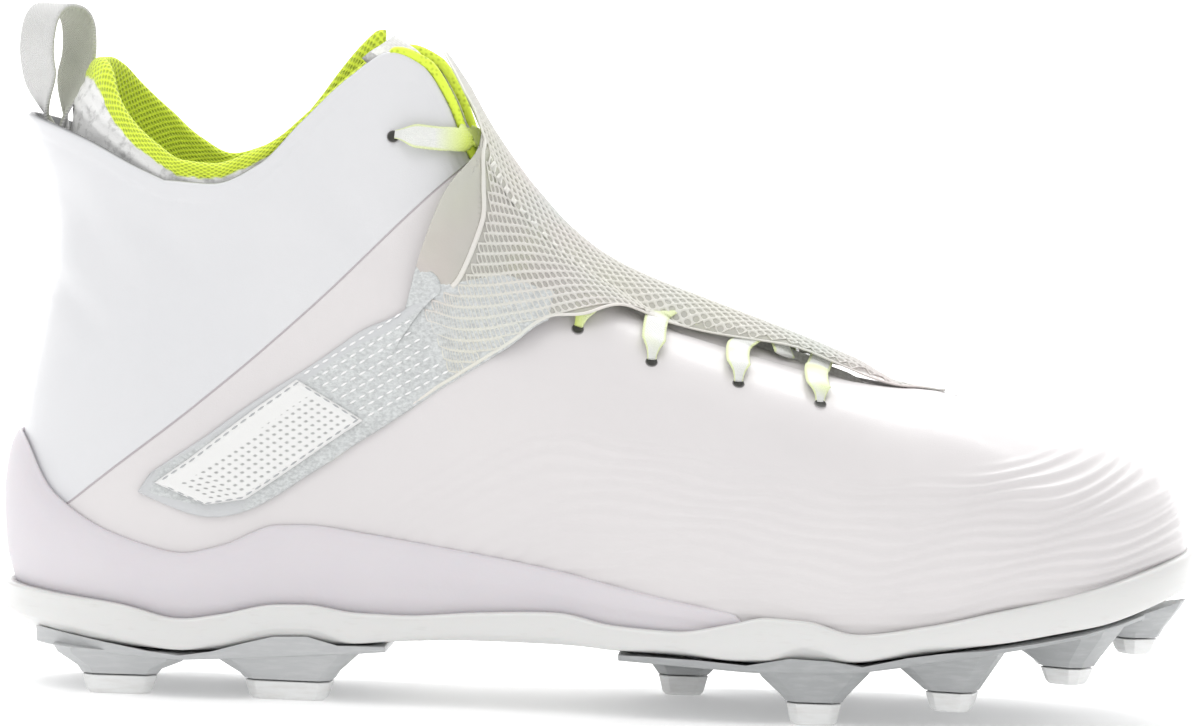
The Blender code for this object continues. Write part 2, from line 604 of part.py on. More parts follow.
def build_sleeve(where):
    """Cuff: inside the shell, then standing above its collar with a rolled edge."""
    last = COLUMNS.index(("body", SLEEVE_FRONT_X))
    keys = [(-1, i) for i in range(last, -1, -1)] + [(1, i) for i in range(1, last + 1)]
    thick, low = SLEEVE_THICK, SLEEVE_LOW
    rings = []
    for side, i in keys:
        kind, value = COLUMNS[i]
        rim_x = value if kind == "body" else HEEL_X - (HEEL_X - SLEEVE_RIM_X) * math.sin(value)
        rim = float(pairs(SLEEVE_RIM, rim_x))
        outer = [(low + (rim - low) * share, 0.0) for share in (0, .3, .6)]
        roll = [(rim - drop, depth) for drop, depth in SLEEVE_ROLL]
        inner = [(rim, thick * .5), (rim - 1.0, thick - .1),
                 (rim - SLEEVE_TUCK, thick + SLEEVE_SWELL), ((low + rim) / 2, thick),
                 (low, thick * .5)]
        rings.append([cuff(side, i, z, depth) for z, depth in outer + roll + inner])
    return tube("collar_sleeve", rings, paint("sleeve", (.70, .80, .25), .95), where)


# Net cover over the throat, narrowing to the strap on the outer side. One row a station: its
# outer edge, the x at which it crosses the throat's outer edge, and its other edge. An edge is x
# and a place q, or a height z where the value is over 3. Rows with no crossing say 0.
COVER = (
    # x, q or z, crossing, x, q or z
    (240, -.98, 0, 240, 0.98), (232, -1.02, 0, 232, 1.02), (221, -.98, 0, 222, 1.05),
    (210, -.86, 0, 211, 1.08), (201, -.80, 0, 201, 1.10), (190, -.88, 0, 190, 1.11),
    (179, -.98, 0, 179, 1.12), (169, -1.05, 0, 169, 1.13), (158, -1.10, 158, 158, 1.14),
    (149, 97.6, 149, 148, 1.15), (140, 97.2, 141, 139, 1.15), (132, 92.0, 134, 131, 1.14),
    (125, 87.6, 128.5, 125, 1.12), (118, 83.0, 124.5, 120, 1.00), (112, 79.0, 121.6, 112, .45),
    (107, 75.4, 119.6, 105.5, .05), (103, 72.6, 118.5, 108.5, -.45),
    (99.6, 70.2, 117.9, 114, -.86), (96, 67.8, 0, 117.2, 136.0), (91, 64.4, 0, 115, 126.0),
    (86, 60.8, 0, 110, 116.0), (80, 56.8, 0, 101, 104.0), (74, 52.6, 0, 91, 92.4),
    (67, 48.6, 0, 81, 85.0), (60, 46.6, 0, 70, 77.6), (53, 46.8, 0, 60, 70.2),
    (45, 49.4, 0, 50, 62.8), (38.5, 52.0, 0, 41.5, 56.8),
)
COVER_THICK = 0.9
COVER_ACROSS = 12
COVER_FOOT = 1.44                 # place q where the cover comes down to the upper
COVER_FALL = 0.14                 # over this much q
COVER_FRONT_X = (214, 232)        # it comes down to the vamp between these x
COVER_FRONT_FALL = 0.6            # by this share of its height
TOP_ROOM = ((112, 126), (2.7, 1.6))            # more height over the laces: x, height
EDGE_ROOM = ((114, 126), (1.8, 0.3))           # and more still over the throat's edges
EDGE_REACH = 0.25                 # within this much q of an edge
LACE_THICK = 1.2
LACE_LIFT = 0.9
ON_SKIN = 0.7                     # clearance of what lies on the upper


def as_q(x, value):
    """A height on the outer side as a place q; other values are q already."""
    return -2 + share_at(-1, x, value) if value > 3 else value


def ease(s):
    """Share that leaves 0 and reaches 1 with no slope."""
    s = min(1.0, max(0.0, s))
    return s * s * (3 - 2 * s)


def cover_lift(x, q):
    """The cover runs close to the upper and rises over the laces, most at the top crossing."""
    side = ease((COVER_FOOT - abs(q)) / COVER_FALL)
    front = 1 - COVER_FRONT_FALL * ease(
        (x - COVER_FRONT_X[0]) / (COVER_FRONT_X[1] - COVER_FRONT_X[0]))
    near_edge = max(0.0, 1.0 - abs(abs(q) - 1.0) / EDGE_REACH)
    over_laces = LACE_LIFT + LACE_THICK + float(np.interp(x, *TOP_ROOM))
    over_laces += near_edge * float(np.interp(x, *EDGE_ROOM))
    return ON_SKIN + (over_laces - ON_SKIN) * side * front


def cover_row(x0, v0, cross, x1, v1):
    """Places (x, q) along one station of the cover, at even distances on the shoe."""
    q0, q1 = as_q(x0, v0), as_q(x1, v1)
    corners = [(x0, q0), (cross, -1.0), (x1, q1)] if cross else [(x0, q0), (x1, q1)]
    fine = np.linspace(0, len(corners) - 1, 61)
    xs = np.interp(fine, range(len(corners)), [c[0] for c in corners])
    qs = np.interp(fine, range(len(corners)), [c[1] for c in corners])
    points = np.array([over(x, q, cover_lift(x, q)) for x, q in zip(xs, qs)])
    reach = np.concatenate([[0], np.cumsum(np.linalg.norm(np.diff(points, axis=0), axis=1))])
    even = np.linspace(0, reach[-1], COVER_ACROSS)
    return list(zip(np.interp(even, reach, xs), np.interp(even, reach, qs)))


def build_cover(where):
    """Net over the laces and the strap that it narrows to."""
    top, low = [], []
    for row in COVER:
        spots = cover_row(*row)
        low.append([over(x, q, cover_lift(x, q)) for x, q in spots])
        top.append([over(x, q, cover_lift(x, q) + COVER_THICK) for x, q in spots])
    return sheet("cover_strap", low, top, paint("cover", (.60, .62, .61), .5), where)


# The tab, from the laces down: (x, z) of its lower and of its upper corner
TAB = (((95.2, 71.6), (77.2, 81.6)), ((86, 65.2), (68, 74.8)), ((76, 57.9), (59, 67.6)),
       ((66, 50.9), (50.5, 60.6)), ((56, 49.3), (42.5, 54.6)))
TAB_THICK = 1.1
TAB_GAP = 0.45


def build_tab(where):
    """Pad on the strap's lower part."""
    out = ON_SKIN + COVER_THICK + TAB_GAP
    top, low = [], []
    for (x0, z0), (x1, z1) in TAB:
        q0, q1 = as_q(x0, z0), as_q(x1, z1)
        spots = [(x0 + (x1 - x0) * s, q0 + (q1 - q0) * s) for s in np.linspace(0.04, 0.96, 5)]
        low.append([over(x, q, out) for x, q in spots])
        top.append([over(x, q, out + TAB_THICK) for x, q in spots])
    return sheet("strap_tab", low, top, paint("tab", (.88, .88, .88), .4), where)


# Middle line of the pull loop, from the shell's side of the cuff over the top and down: (x, z)
LOOP_LINE = ((12.0, 134.0), (10.6, 139.0), (8.0, 146.0), (5.2, 154.0), (3.6, 162.0), (4.6, 169.0),
             (8.6, 173.2), (13.6, 172.6), (17.2, 168.0), (17.6, 161.6), (15.6, 154.5),
             (13.4, 147.4), (12.8, 140.0), (13.9, 134.0))
LOOP_WIDTH, LOOP_THICK = 13.0, 1.3


def build_loop(where):
    """Pull loop: a band of webbing, both ends between the shell and the cuff."""
    line = np.array(LOOP_LINE, float)
    along = np.gradient(line, axis=0)
    along /= np.linalg.norm(along, axis=1)[:, None]
    normal = np.stack([along[:, 1], -along[:, 0]], 1) * LOOP_THICK / 2
    rings = []
    for (x, z), (nx, nz) in zip(line, normal):
        rings.append([(x + nx, -LOOP_WIDTH / 2, z + nz), (x + nx, LOOP_WIDTH / 2, z + nz),
                      (x - nx, LOOP_WIDTH / 2, z - nz), (x - nx, -LOOP_WIDTH / 2, z - nz)])
    return tube("pull_loop", rings, paint("loop", (.62, .62, .59), .8), where)


# Eyelets from the toe up: x and height on the outer side, and the x at which the lace from each
# crosses the edge of the throat
EYELETS = ((209.0, 79.6, 207.0), (188.4, 84.0, 187.0), (166.5, 88.8, 166.0), (147.6, 96.4, 150.0),
           (129.0, 106.5, 133.5), (112.5, 118.4, 121.5), (99.5, 143.6, 114.4))
LACE_WIDTH = 6.0
LACE_START = 0.44                 # a crossing's low end lies this share of the way to the next one
LACE_UNDER = 0.84                 # place q where that end goes under the throat's edge
LACE_AT = (-1.14, -1.03, -.96, -.7, -.36, 0.0, .36, .7, .96, 1.03, 1.14)    # q of its rings
EDGE_LIFT = 0.5                   # a lace lies this much higher on the throat's edges
OVER_OTHER = 0.35                 # and the second half of a crossing this much over the first


def lace_run(name, places, xs, where, material, raised=0.0):
    """Flat lace over the tongue through places q and their x, given in order."""
    ways = np.array(LACE_AT)
    ways = ways[(ways > places[0] + .08) & (ways < places[-1] - .05)]
    spots = [(np.interp(q, places, xs), q) for q in (places[0], *ways, places[-1])]
    lifts = [LACE_LIFT + raised + EDGE_LIFT * (.9 < abs(q) < 1.1) for _, q in spots]
    middle = np.array([over(x, q, lift) for (x, q), lift in zip(spots, lifts)])
    above = np.array([over(x, q, lift + 1.0) for (x, q), lift in zip(spots, lifts)])
    along = np.gradient(middle, axis=0)
    normal = above - middle
    normal /= np.linalg.norm(normal, axis=1)[:, None]
    across = np.cross(normal, along)
    across /= np.linalg.norm(across, axis=1)[:, None]
    a, n = across * LACE_WIDTH / 2, normal * LACE_THICK
    rings = [[m - w, m + w, m + w + h, m - w + h] for m, w, h in zip(middle, a, n)]
    return tube(name, rings, material, where)


def build_laces(where, cutters):
    """A bar at the front, then one joined crossing between each pair of eyelets."""
    material = paint("lace", (.88, .89, .84), .8)
    places = [-as_q(x, z) for x, z, _ in EYELETS]
    x, _, edge_x = EYELETS[0]
    lace_run("lace_bar", (-places[0], -1.0, 1.0, places[0]), (x, edge_x, edge_x, x), where,
             material)
    for k in range(len(EYELETS) - 1):
        start = EYELETS[k][2] + (EYELETS[k + 1][2] - EYELETS[k][2]) * LACE_START
        x, _, edge_x = EYELETS[k + 1]
        name = f"lace_cross_{k + 1}"
        up = (-LACE_UNDER, 1.0, places[k + 1])
        down = tuple(-q for q in reversed(up))
        piece = lace_run(name, up, (start, edge_x, x), where, material)
        other = lace_run(name + "_other", down, (x, edge_x, start), cutters, material,
                         OVER_OTHER)
        other.hide_render, other.display_type = True, "WIRE"
        join = piece.modifiers.new("crossing", "BOOLEAN")
        join.operation, join.object, join.solver = "UNION", other, "EXACT"


def main():
    """Builds every piece of the shoe into one collection."""
    for old in list(bpy.data.objects):
        bpy.data.objects.remove(old, do_unlink=True)
    cleat = bpy.data.collections.new("american_football_cleat")
    cutters = bpy.data.collections.new("joined_shapes")
    for group in (cleat, cutters):
        bpy.context.scene.collection.children.link(group)
    build_upper(cleat)
    shell("plate", plate_profile, paint("plate", (.88, .88, .88), .35), cleat)
    shell("midsole", midsole_profile, paint("midsole", (.78, .76, .80), .55), cleat)
    shell("insole", insole_profile, paint("insole", (.3, .3, .32), .8), cleat)
    build_tongue(cleat)
    build_sleeve(cleat)
    build_cover(cleat)
    build_tab(cleat)
    build_loop(cleat)
    build_laces(cleat, cutters)
    white, gray = paint("tip", (.85, .85, .85), .35), paint("outsole", (.42, .42, .43), .45)
    build_outsole("heel_outsole", HEEL_SOLEPLATE_X, HEEL_STUDS, white, gray, cleat, cutters)
    build_outsole("forefoot_outsole", FOREFOOT_SOLEPLATE_X, FOREFOOT_STUDS, white, gray, cleat,
                  cutters)


main()
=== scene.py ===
# %% [markdown]
# # A white football cleat
#
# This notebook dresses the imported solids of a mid-height, plated football boot. The real boot is
# a moulded shell over a knitted cuff, with a net cover that pulls down into a strap on the outer
# side, a foam midsole, and a plastic plate with eight-sided studs.
#
# Everything is worked out in millimetres in the maker's frame (x from the heel to the toe, y to
# the inner side of the foot, z up from the stud tips) and moved into the scene's metres when a
# mesh is made, so each piece lands where its solid is.

import bmesh
import bpy
import numpy as np
from mathutils import Matrix, Vector


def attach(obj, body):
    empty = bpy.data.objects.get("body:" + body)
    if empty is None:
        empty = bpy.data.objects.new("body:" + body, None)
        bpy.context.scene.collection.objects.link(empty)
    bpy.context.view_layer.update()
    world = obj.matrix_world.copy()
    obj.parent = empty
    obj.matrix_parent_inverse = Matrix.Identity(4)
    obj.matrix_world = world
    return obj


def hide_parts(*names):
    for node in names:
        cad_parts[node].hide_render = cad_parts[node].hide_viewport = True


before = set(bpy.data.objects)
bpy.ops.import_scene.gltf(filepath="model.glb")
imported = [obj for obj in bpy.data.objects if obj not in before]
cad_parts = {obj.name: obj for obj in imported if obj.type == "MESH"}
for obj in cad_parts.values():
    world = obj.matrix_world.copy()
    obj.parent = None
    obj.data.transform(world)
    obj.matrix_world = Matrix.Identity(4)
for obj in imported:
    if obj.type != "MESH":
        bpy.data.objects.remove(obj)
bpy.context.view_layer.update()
ORIGIN = np.array([152.4, -1.4, 0.0])      # the maker's point that is the scene's origin, mm
MM = 0.001
OUTER, INNER = -1, 1                       # the two sides of the foot

# %% [markdown]
# ## The named sizes of the shoe
#
# The shell is a row of cross-sections. Each one is a quartic curve from the sole to the top edge,
# set by four widths and three heights. The same rows drive the solids, so a new surface made
# from them lies on the old one. Reading them through a cubic that never overshoots keeps the
# sides free of bumps between two rows.

# %% Tables of the shell and the sole
GAP, WALL = 0.4, 2.0                       # room between pieces, and the shell's thickness
CUP_WALL, RIM_WALL = 2.6, 2.8              # thickness of the midsole's wall and the plate's side
LENGTH, HEEL_X, TOE_X, THROAT_X = 302.0, 42.0, 238.0, 233.0
HEEL_FOOT_X, HEEL_RIM_X = 9.0, 4.0         # back ends of the shell's foot and of its collar
# The upper: one row per cross-section. top = height of its top edge or ridge, outer and inner =
# half widths at the sole, ridge = y of the middle line, w and h = control shares of the section.
SECTIONS = (
    # x,   top,  outer, inner, ridge, w1,   h1,  w2,   h2,  w3,   h3,  w4
    (42, 129.6, 31.0, 31.0, 0.0, 1.22, .12, 1.15, .50, 0.78, .80, 0.86),
    (54, 129.0, 31.5, 31.0, 0.0, 1.22, .12, 1.13, .50, 0.78, .80, 0.86),
    (66, 134.4, 31.5, 30.0, 0.0, 1.20, .12, 1.10, .50, 0.78, .80, 0.84),
    (76, 145.0, 31.2, 29.0, 0.0, 1.18, .12, 1.06, .46, 0.82, .78, 0.82),
    (88, 157.0, 31.0, 28.0, 0.0, 1.16, .12, 1.06, .42, 0.84, .76, 0.78),
    (98, 163.6, 31.2, 27.0, 0.0, 1.15, .12, 1.08, .40, 0.88, .76, 0.72),
    (106, 160.5, 31.6, 26.5, 0.0, 1.15, .14, 1.10, .42, 0.92, .76, 0.68),
    (112, 152.0, 32.0, 26.3, 0.0, 1.14, .16, 1.12, .44, 0.96, .78, 0.64),
    (118, 138.0, 32.6, 26.5, 0.0, 1.14, .18, 1.14, .48, 0.98, .82, 0.60),
    (128, 124.0, 34.0, 27.0, 0.0, 1.12, .22, 1.16, .54, 0.98, .86, 0.53),
    (142, 110.5, 36.5, 28.6, 0.5, 1.09, .26, 1.14, .62, 0.96, .92, 0.44),
    (160, 100.0, 40.5, 32.5, 1.5, 1.05, .30, 1.10, .72, 0.88, .98, 0.37),
    (180, 92.6, 45.0, 38.0, 2.5, 1.03, .34, 1.05, .82, 0.78, 1.00, 0.31),
    (200, 87.4, 48.5, 43.5, 3.5, 1.01, .38, 1.00, .90, 0.66, 1.00, 0.27),
    (218, 83.6, 50.0, 46.5, 4.5, 1.00, .40, 0.96, .93, 0.56, 1.00, 0.20),
    (228, 82.2, 50.0, 47.2, 5.0, 1.00, .40, 0.94, .94, 0.48, 1.00, 0.11),
    (THROAT_X, 81.8, 49.8, 47.2, 5.5, 1.00, .40, 0.93, .95, 0.45, 1.00, 0.00),
    (TOE_X, 81.2, 49.6, 47.1, 6.0, 1.00, .40, 0.93, .95, 0.45, 1.00, 0.00),
)
SECTION_NAMES = ("x", "top", "outer", "inner", "ridge",
                 "w1", "h1", "w2", "h2", "w3", "h3", "w4")
TIP_SHARES = (1.00, .46, 0.98, 1.00, 0.50, 1.00, 0.00)   # the section at the toe tip
TOE_ROUNDNESS = {-1: 2.05, 1: 2.25}                       # outline exponent, outer and inner

# ridge of the vamp ahead of the throat, and the back line of the heel: (x, z) and (z, x)
RIDGE = ((TOE_X, 81.2), (254, 77.6), (270, 74.6), (288, 73.4), (304, 75.5))
HEEL_BACK = ((20, 9.5), (28, 6.2), (38, 4.0), (50, 3.6), (61, 4.6), (72, 6.0), (84, 8.0),
             (95, 9.8), (106, 11.8), (116, 12.2), (126, 10.4), (136, 7.0), (146, 3.4))
COLLAR_BACK = ((4, 144.6), (12, 142.0), (22, 138.2), (33, 133.0), (42, 129.6))

# The sole along x: under = plate underside, rim_low and rim_top = edges of the plate's side,
# cup = top edge of the midsole's wall, share = how much of that wall there is.
SOLE = (
    # x, under, rim_low, rim_top, cup, share
    (0, 16.5, 19.5, 27.0, 66.0, 1.0),
    (8, 15.0, 18.8, 26.4, 64.5, 1.0),
    (20, 13.6, 17.4, 25.4, 50.0, 1.0),
    (34, 12.8, 15.2, 24.0, 41.2, 1.0),
    (50, 12.2, 12.8, 20.6, 37.0, 1.0),
    (60, 12.6, 14.6, 22.0, 39.2, 1.0),
    (74, 13.8, 18.6, 25.0, 44.8, 1.0),
    (82, 14.2, 18.8, 25.2, 45.0, 1.0),
    (94, 15.2, 16.0, 23.6, 43.6, 1.0),
    (106, 16.4, 17.2, 23.4, 42.0, 1.0),
    (126, 17.4, 18.8, 25.0, 39.2, 1.0),
    (146, 17.6, 19.2, 26.0, 36.0, 1.0),
    (161, 17.0, 17.6, 23.6, 32.8, 1.0),
    (176, 16.6, 18.2, 23.0, 30.0, 0.9),
    (190, 15.8, 16.8, 25.6, 27.6, 0.5),
    (198, 15.6, 17.0, 27.4, 26.0, 0.1),
    (208, 15.8, 20.2, 27.0, 24.6, 0.0),
    (220, 16.6, 17.6, 24.2, 25.0, 0.0),
    (238, 19.4, 21.4, 26.8, 27.6, 0.0),
    (254, 22.2, 22.8, 30.6, 30.4, 0.0),
    (270, 25.0, 25.6, 34.2, 32.0, 0.0),
    (280, 26.8, 27.4, 36.8, 33.4, 0.0),
    (292, 30.2, 31.4, 40.6, 36.0, 0.0),
    (304, 34.6, 36.4, 44.6, 39.8, 0.0),
)
SOLE_NAMES = ("x", "under", "rim_low", "rim_top", "cup", "share")
FLOOR = ((0, 4.0), (230, 3.6), (304, 2.4))       # thickness of the plate's floor
FOAM = ((0, 4.6), (60, 4.4), (230, 2.4), (304, 1.4))   # thickness of the midsole's floor

# %% [markdown]
# ## Reading the tables
#
# A monotone cubic is the plain choice here: a spline with free slopes would swing past the rows
# where the ankle turns quickly. The slope at each row is the harmonic mean of its neighbours.

# %% Smooth readers

def smooth(x, xs, ys):
    """Cubic through the points (xs, ys) with slopes that never overshoot."""
    xs, ys, x = np.asarray(xs, float), np.asarray(ys, float), np.asarray(x, float)
    step = np.diff(xs)
    rise = np.diff(ys) / step
    slope = np.zeros_like(ys)
    same = rise[:-1] * rise[1:] > 0
    w1, w2 = 2 * step[1:] + step[:-1], step[1:] + 2 * step[:-1]
    with np.errstate(divide="ignore", invalid="ignore"):
        mean = (w1 + w2) / (w1 / rise[:-1] + w2 / rise[1:])
    slope[1:-1] = np.where(same, mean, 0.0)
    slope[0], slope[-1] = rise[0], rise[-1]
    x = np.clip(x, xs[0], xs[-1])
    i = np.clip(np.searchsorted(xs, x, side="right") - 1, 0, len(xs) - 2)
    s = (x - xs[i]) / step[i]
    return ((1 + 2 * s) * (1 - s) ** 2 * ys[i] + s * (1 - s) ** 2 * step[i] * slope[i]
            + s * s * (3 - 2 * s) * ys[i + 1] + s * s * (s - 1) * step[i] * slope[i + 1])


def column_of(table, names, name, x):
    """Smooth value of one named column at x."""
    rows = np.array([[row[names.index("x")], row[names.index(name)]] for row in table], float)
    return smooth(x, rows[:, 0], rows[:, 1])


def along(table, x):
    """Smooth value of a two-column table at x."""
    rows = np.array(table, float)
    return smooth(x, rows[:, 0], rows[:, 1])


def sole(name, x):
    """One height or share of the sole at x."""
    return column_of(SOLE, SOLE_NAMES, name, x)


def floor_top(x):
    """Top of the plate's floor: its underside plus the floor's thickness."""
    return sole("under", x) + along(FLOOR, x)


def foam_top(x):
    """Top of the foam's floor: the plate's floor, the room and the foam's thickness."""
    return floor_top(x) + GAP + along(FOAM, x)


def foot_edge(x):
    """Height of the shell's lower edge, where it sits on the foam."""
    return foam_top(x) + GAP


def ease(low, high, value):
    """0 below low, 1 above high, and a soft S between them."""
    s = np.clip((value - low) / (high - low), 0, 1)
    return s * s * (3 - 2 * s)


def unit(vectors):
    """Vectors of length one, along the last axis."""
    return vectors / np.maximum(np.linalg.norm(vectors, axis=-1, keepdims=True), 1e-12)


def reach_along(points):
    """Distance of each point from the first one, along the line of points."""
    return np.concatenate([[0.0], np.cumsum(np.linalg.norm(np.diff(points, axis=0), axis=1))])


def running_mean(values, count):
    """Mean of count neighbours round each value, with both ends held."""
    return np.convolve(np.pad(values, count // 2, mode="edge"), np.ones(count) / count,
                       mode="valid")


print("edge of the shell at the waist:", round(float(foot_edge(150.0)), 1), "mm above the tips")

# %% [markdown]
# ## The shell as a function of two numbers
#
# The body of the shoe is read straight across at x. The heel is the section at x = 42 swept
# round to the back line, and the toe is the section at x = 238 swept round to the tip on a
# slightly square oval. t runs from 0 at the sole to 1 at the collar, throat or ridge.

# %% Points of the shell


def bend(shares, t):
    """Quartic curve from (1, 0) at the sole to (w4, 1) at the top."""
    w1, h1, w2, h2, w3, h3, w4 = shares
    b = [c * t ** k * (1 - t) ** (4 - k) for k, c in enumerate((1, 4, 6, 4, 1))]
    return (b[0] + w1 * b[1] + w2 * b[2] + w3 * b[3] + w4 * b[4],
            h1 * b[1] + h2 * b[2] + h3 * b[3] + b[4])


def shares_at(x):
    """The seven control shares of the section at x."""
    return [column_of(SECTIONS, SECTION_NAMES, n, x) for n in SECTION_NAMES[5:]]


def width_of(side, x):
    """Half width at the sole on one side."""
    return column_of(SECTIONS, SECTION_NAMES, "outer" if side < 0 else "inner", x)


def body_point(side, x, t):
    """The shell at x: ridge line plus the half width times the section's share."""
    w, h = bend(shares_at(x), t)
    ridge = column_of(SECTIONS, SECTION_NAMES, "ridge", x)
    low, top = foot_edge(x), column_of(SECTIONS, SECTION_NAMES, "top", x)
    y = ridge + side * (width_of(side, x) - side * ridge) * w
    return np.stack(np.broadcast_arrays(x, y, low + (top - low) * h), -1)


def heel_point(side, angle, t):
    """The heel: x is the sweep centre minus the reach of the back line times sin(angle)."""
    w, h = bend(shares_at(HEEL_X), t)
    reach = np.sin(angle)
    low = foot_edge(HEEL_X - (HEEL_X - HEEL_FOOT_X) * reach)
    top = along(COLLAR_BACK, HEEL_X - (HEEL_X - HEEL_RIM_X) * reach)
    z = low + (top - low) * h
    x = HEEL_X - (HEEL_X - along(HEEL_BACK, z)) * reach
    return np.stack(np.broadcast_arrays(x, side * width_of(side, HEEL_X) * w * np.cos(angle), z),
                    -1)


def toe_point(side, angle, t):
    """The toe: a squared oval of the sole's outline, each section leaning to the tip's own."""
    turn = np.sin(angle) ** 2
    w, h = bend([a + (b - a) * turn for a, b in zip(shares_at(TOE_X), TIP_SHARES)], t)
    power = 2.0 / TOE_ROUNDNESS[side]
    ridge = column_of(SECTIONS, SECTION_NAMES, "ridge", TOE_X)
    half = width_of(side, TOE_X) - side * ridge
    x = TOE_X + (LENGTH - TOE_X) * w * np.abs(np.sin(angle)) ** power
    y = ridge + side * half * w * np.abs(np.cos(angle)) ** power
    low = foot_edge(x)
    return np.stack(np.broadcast_arrays(x, y, low + (along(RIDGE, x) - low) * h), -1)


# %% A fine grid once round the shoe
ROWS, HEEL_STEPS, BODY_STEPS, TOE_STEPS = 150, 24, 152, 58


def side_grid(side, t):
    """Columns from the middle of the heel to the tip of the toe, one row a value of t."""
    heel_angles = np.linspace(np.pi / 2, 0, HEEL_STEPS, endpoint=False)[:, None]
    body_x = np.sort(np.append(np.linspace(HEEL_X, TOE_X, BODY_STEPS, endpoint=False),
                               THROAT_X))[:, None]
    toe_angles = np.linspace(0, np.pi / 2, TOE_STEPS)[:, None]
    return np.concatenate([heel_point(side, heel_angles, t), body_point(side, body_x, t),
                           toe_point(side, toe_angles, t)])


def round_grid(t):
    """Outer side from heel to toe, then the inner side back, without a repeated column."""
    t = np.asarray(t, float)[None, :]
    return np.concatenate([side_grid(OUTER, t), side_grid(INNER, t)[-2:0:-1]])


def grid_normals(grid):
    """Outward unit normals of a grid that closes on itself along its first axis."""
    across = np.roll(grid, -1, 0) - np.roll(grid, 1, 0)
    up = np.gradient(grid, axis=1)
    normal = np.cross(across, up)
    return normal / np.maximum(np.linalg.norm(normal, axis=2, keepdims=True), 1e-9)


T_ROWS = np.linspace(0, 1, ROWS)
SHELL = round_grid(T_ROWS)
OUT = grid_normals(SHELL)
if (OUT[:, ROWS // 2, 1] * SHELL[:, ROWS // 2, 1]).sum() < 0:
    OUT = -OUT
COLUMNS = len(SHELL)
MIRROR = (-np.arange(COLUMNS)) % COLUMNS
print("shell grid:", COLUMNS, "columns by", ROWS, "rows")

# %% [markdown]
# ## Camera, light and floor
#
# The shoe is photographed from its outer side, almost level, a little towards the toe, with a
# long lens and the camera rolled by nearly two degrees. The set is plain white: a floor, a bright
# surround, and one large lamp from above that gives the relief of the shell its soft shadows. A
# weak lamp lights the toe, a third one the backdrop. The floor glows a little, because the photo's
# ground is pure white and a floor that only reflects would show a broad shadow.

# %% Camera and studio
SENSOR_MM, PHOTO_PIXELS = 36.0, 1200.0     # width of the camera's sensor and of the photo


def scene_point(x, y, z):
    """A point of the maker's frame in the scene's metres."""
    return (np.array([x, y, z], float) - ORIGIN) * MM


def place_camera(target, azimuth, elevation, roll, distance, pixels_a_mm):
    """Looks at target from a distance, so that one millimetre there covers pixels_a_mm."""
    a, e = np.radians(azimuth), np.radians(elevation)
    back = Vector((np.sin(a) * np.cos(e), -np.cos(a) * np.cos(e), np.sin(e)))
    camera = bpy.data.objects.new("camera", bpy.data.cameras.new("camera"))
    bpy.context.scene.collection.objects.link(camera)
    camera.data.sensor_fit, camera.data.sensor_width = "HORIZONTAL", SENSOR_MM
    camera.data.lens = pixels_a_mm * distance * SENSOR_MM / PHOTO_PIXELS
    turn = back.to_track_quat("Z", "Y").to_matrix() @ Matrix.Rotation(np.radians(roll), 3, "Z")
    camera.matrix_world = (Matrix.Translation(Vector(target) + back * distance * MM)
                           @ turn.to_4x4())
    camera.data.clip_end = 50
    bpy.context.scene.camera = camera
    return camera


camera = place_camera(scene_point(151.9, 0.0, 86.2), 3.06, 3.6, 1.75, 1800.0, 3.92)


def shine_lamp(name, spot, target, size, power):
    """A square lamp at spot that faces target, both in the maker's millimetres."""
    data = bpy.data.lights.new(name, "AREA")
    data.size, data.energy = size, power
    lamp = bpy.data.objects.new(name, data)
    bpy.context.scene.collection.objects.link(lamp)
    at = Vector(scene_point(*spot))
    lamp.location = at
    lamp.rotation_euler = (Vector(scene_point(*target)) - at).to_track_quat("-Z", "Y").to_euler()
    return lamp


shine_lamp("key", (-250, -700, 1400), (150, 0, 60), 0.8, 6.2)
shine_lamp("toe_light", (900, -420, 620), (240, 0, 50), 0.4, 0.25)
shine_lamp("backdrop_light", (150, 1000, 1900), (150, 2600, 500), 1.6, 70.0)
world = bpy.data.worlds.new("surround")
world.use_nodes = True
world.node_tree.nodes["Background"].inputs["Color"].default_value = (1.0, 1.0, 1.0, 1)
world.node_tree.nodes["Background"].inputs["Strength"].default_value = 0.75
bpy.context.scene.world = world
bpy.context.scene.view_settings.view_transform = "Standard"

# %% [markdown]
# ## Tools for meshes and finishes
#
# A piece is a list of points in millimetres and a list of faces. A finish is one Principled
# shader with its grain from noise on Object coordinates, so that it stays put when the shoe
# moves. Small helpers keep each piece's own cell short.

# %% Mesh and material helpers


def strip_quads(count, rows, closed=False):
    """Quads of a grid of count lines with rows points each; closed joins last line to first."""
    a = np.arange(count if closed else count - 1)[:, None]
    b = (a + 1) % count
    r = np.arange(rows - 1)[None, :]
    return np.stack([a * rows + r, b * rows + r, b * rows + r + 1, a * rows + r + 1],
                    -1).reshape(-1, 4)


def add_piece(name, mesh, nodes=()):
    """Adds a mesh to the scene as a piece that rides on the root body and replaces its solids."""
    piece = bpy.data.objects.new(name, mesh)
    bpy.context.scene.collection.objects.link(piece)
    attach(piece, "root")
    if nodes:
        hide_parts(*nodes)
    return piece


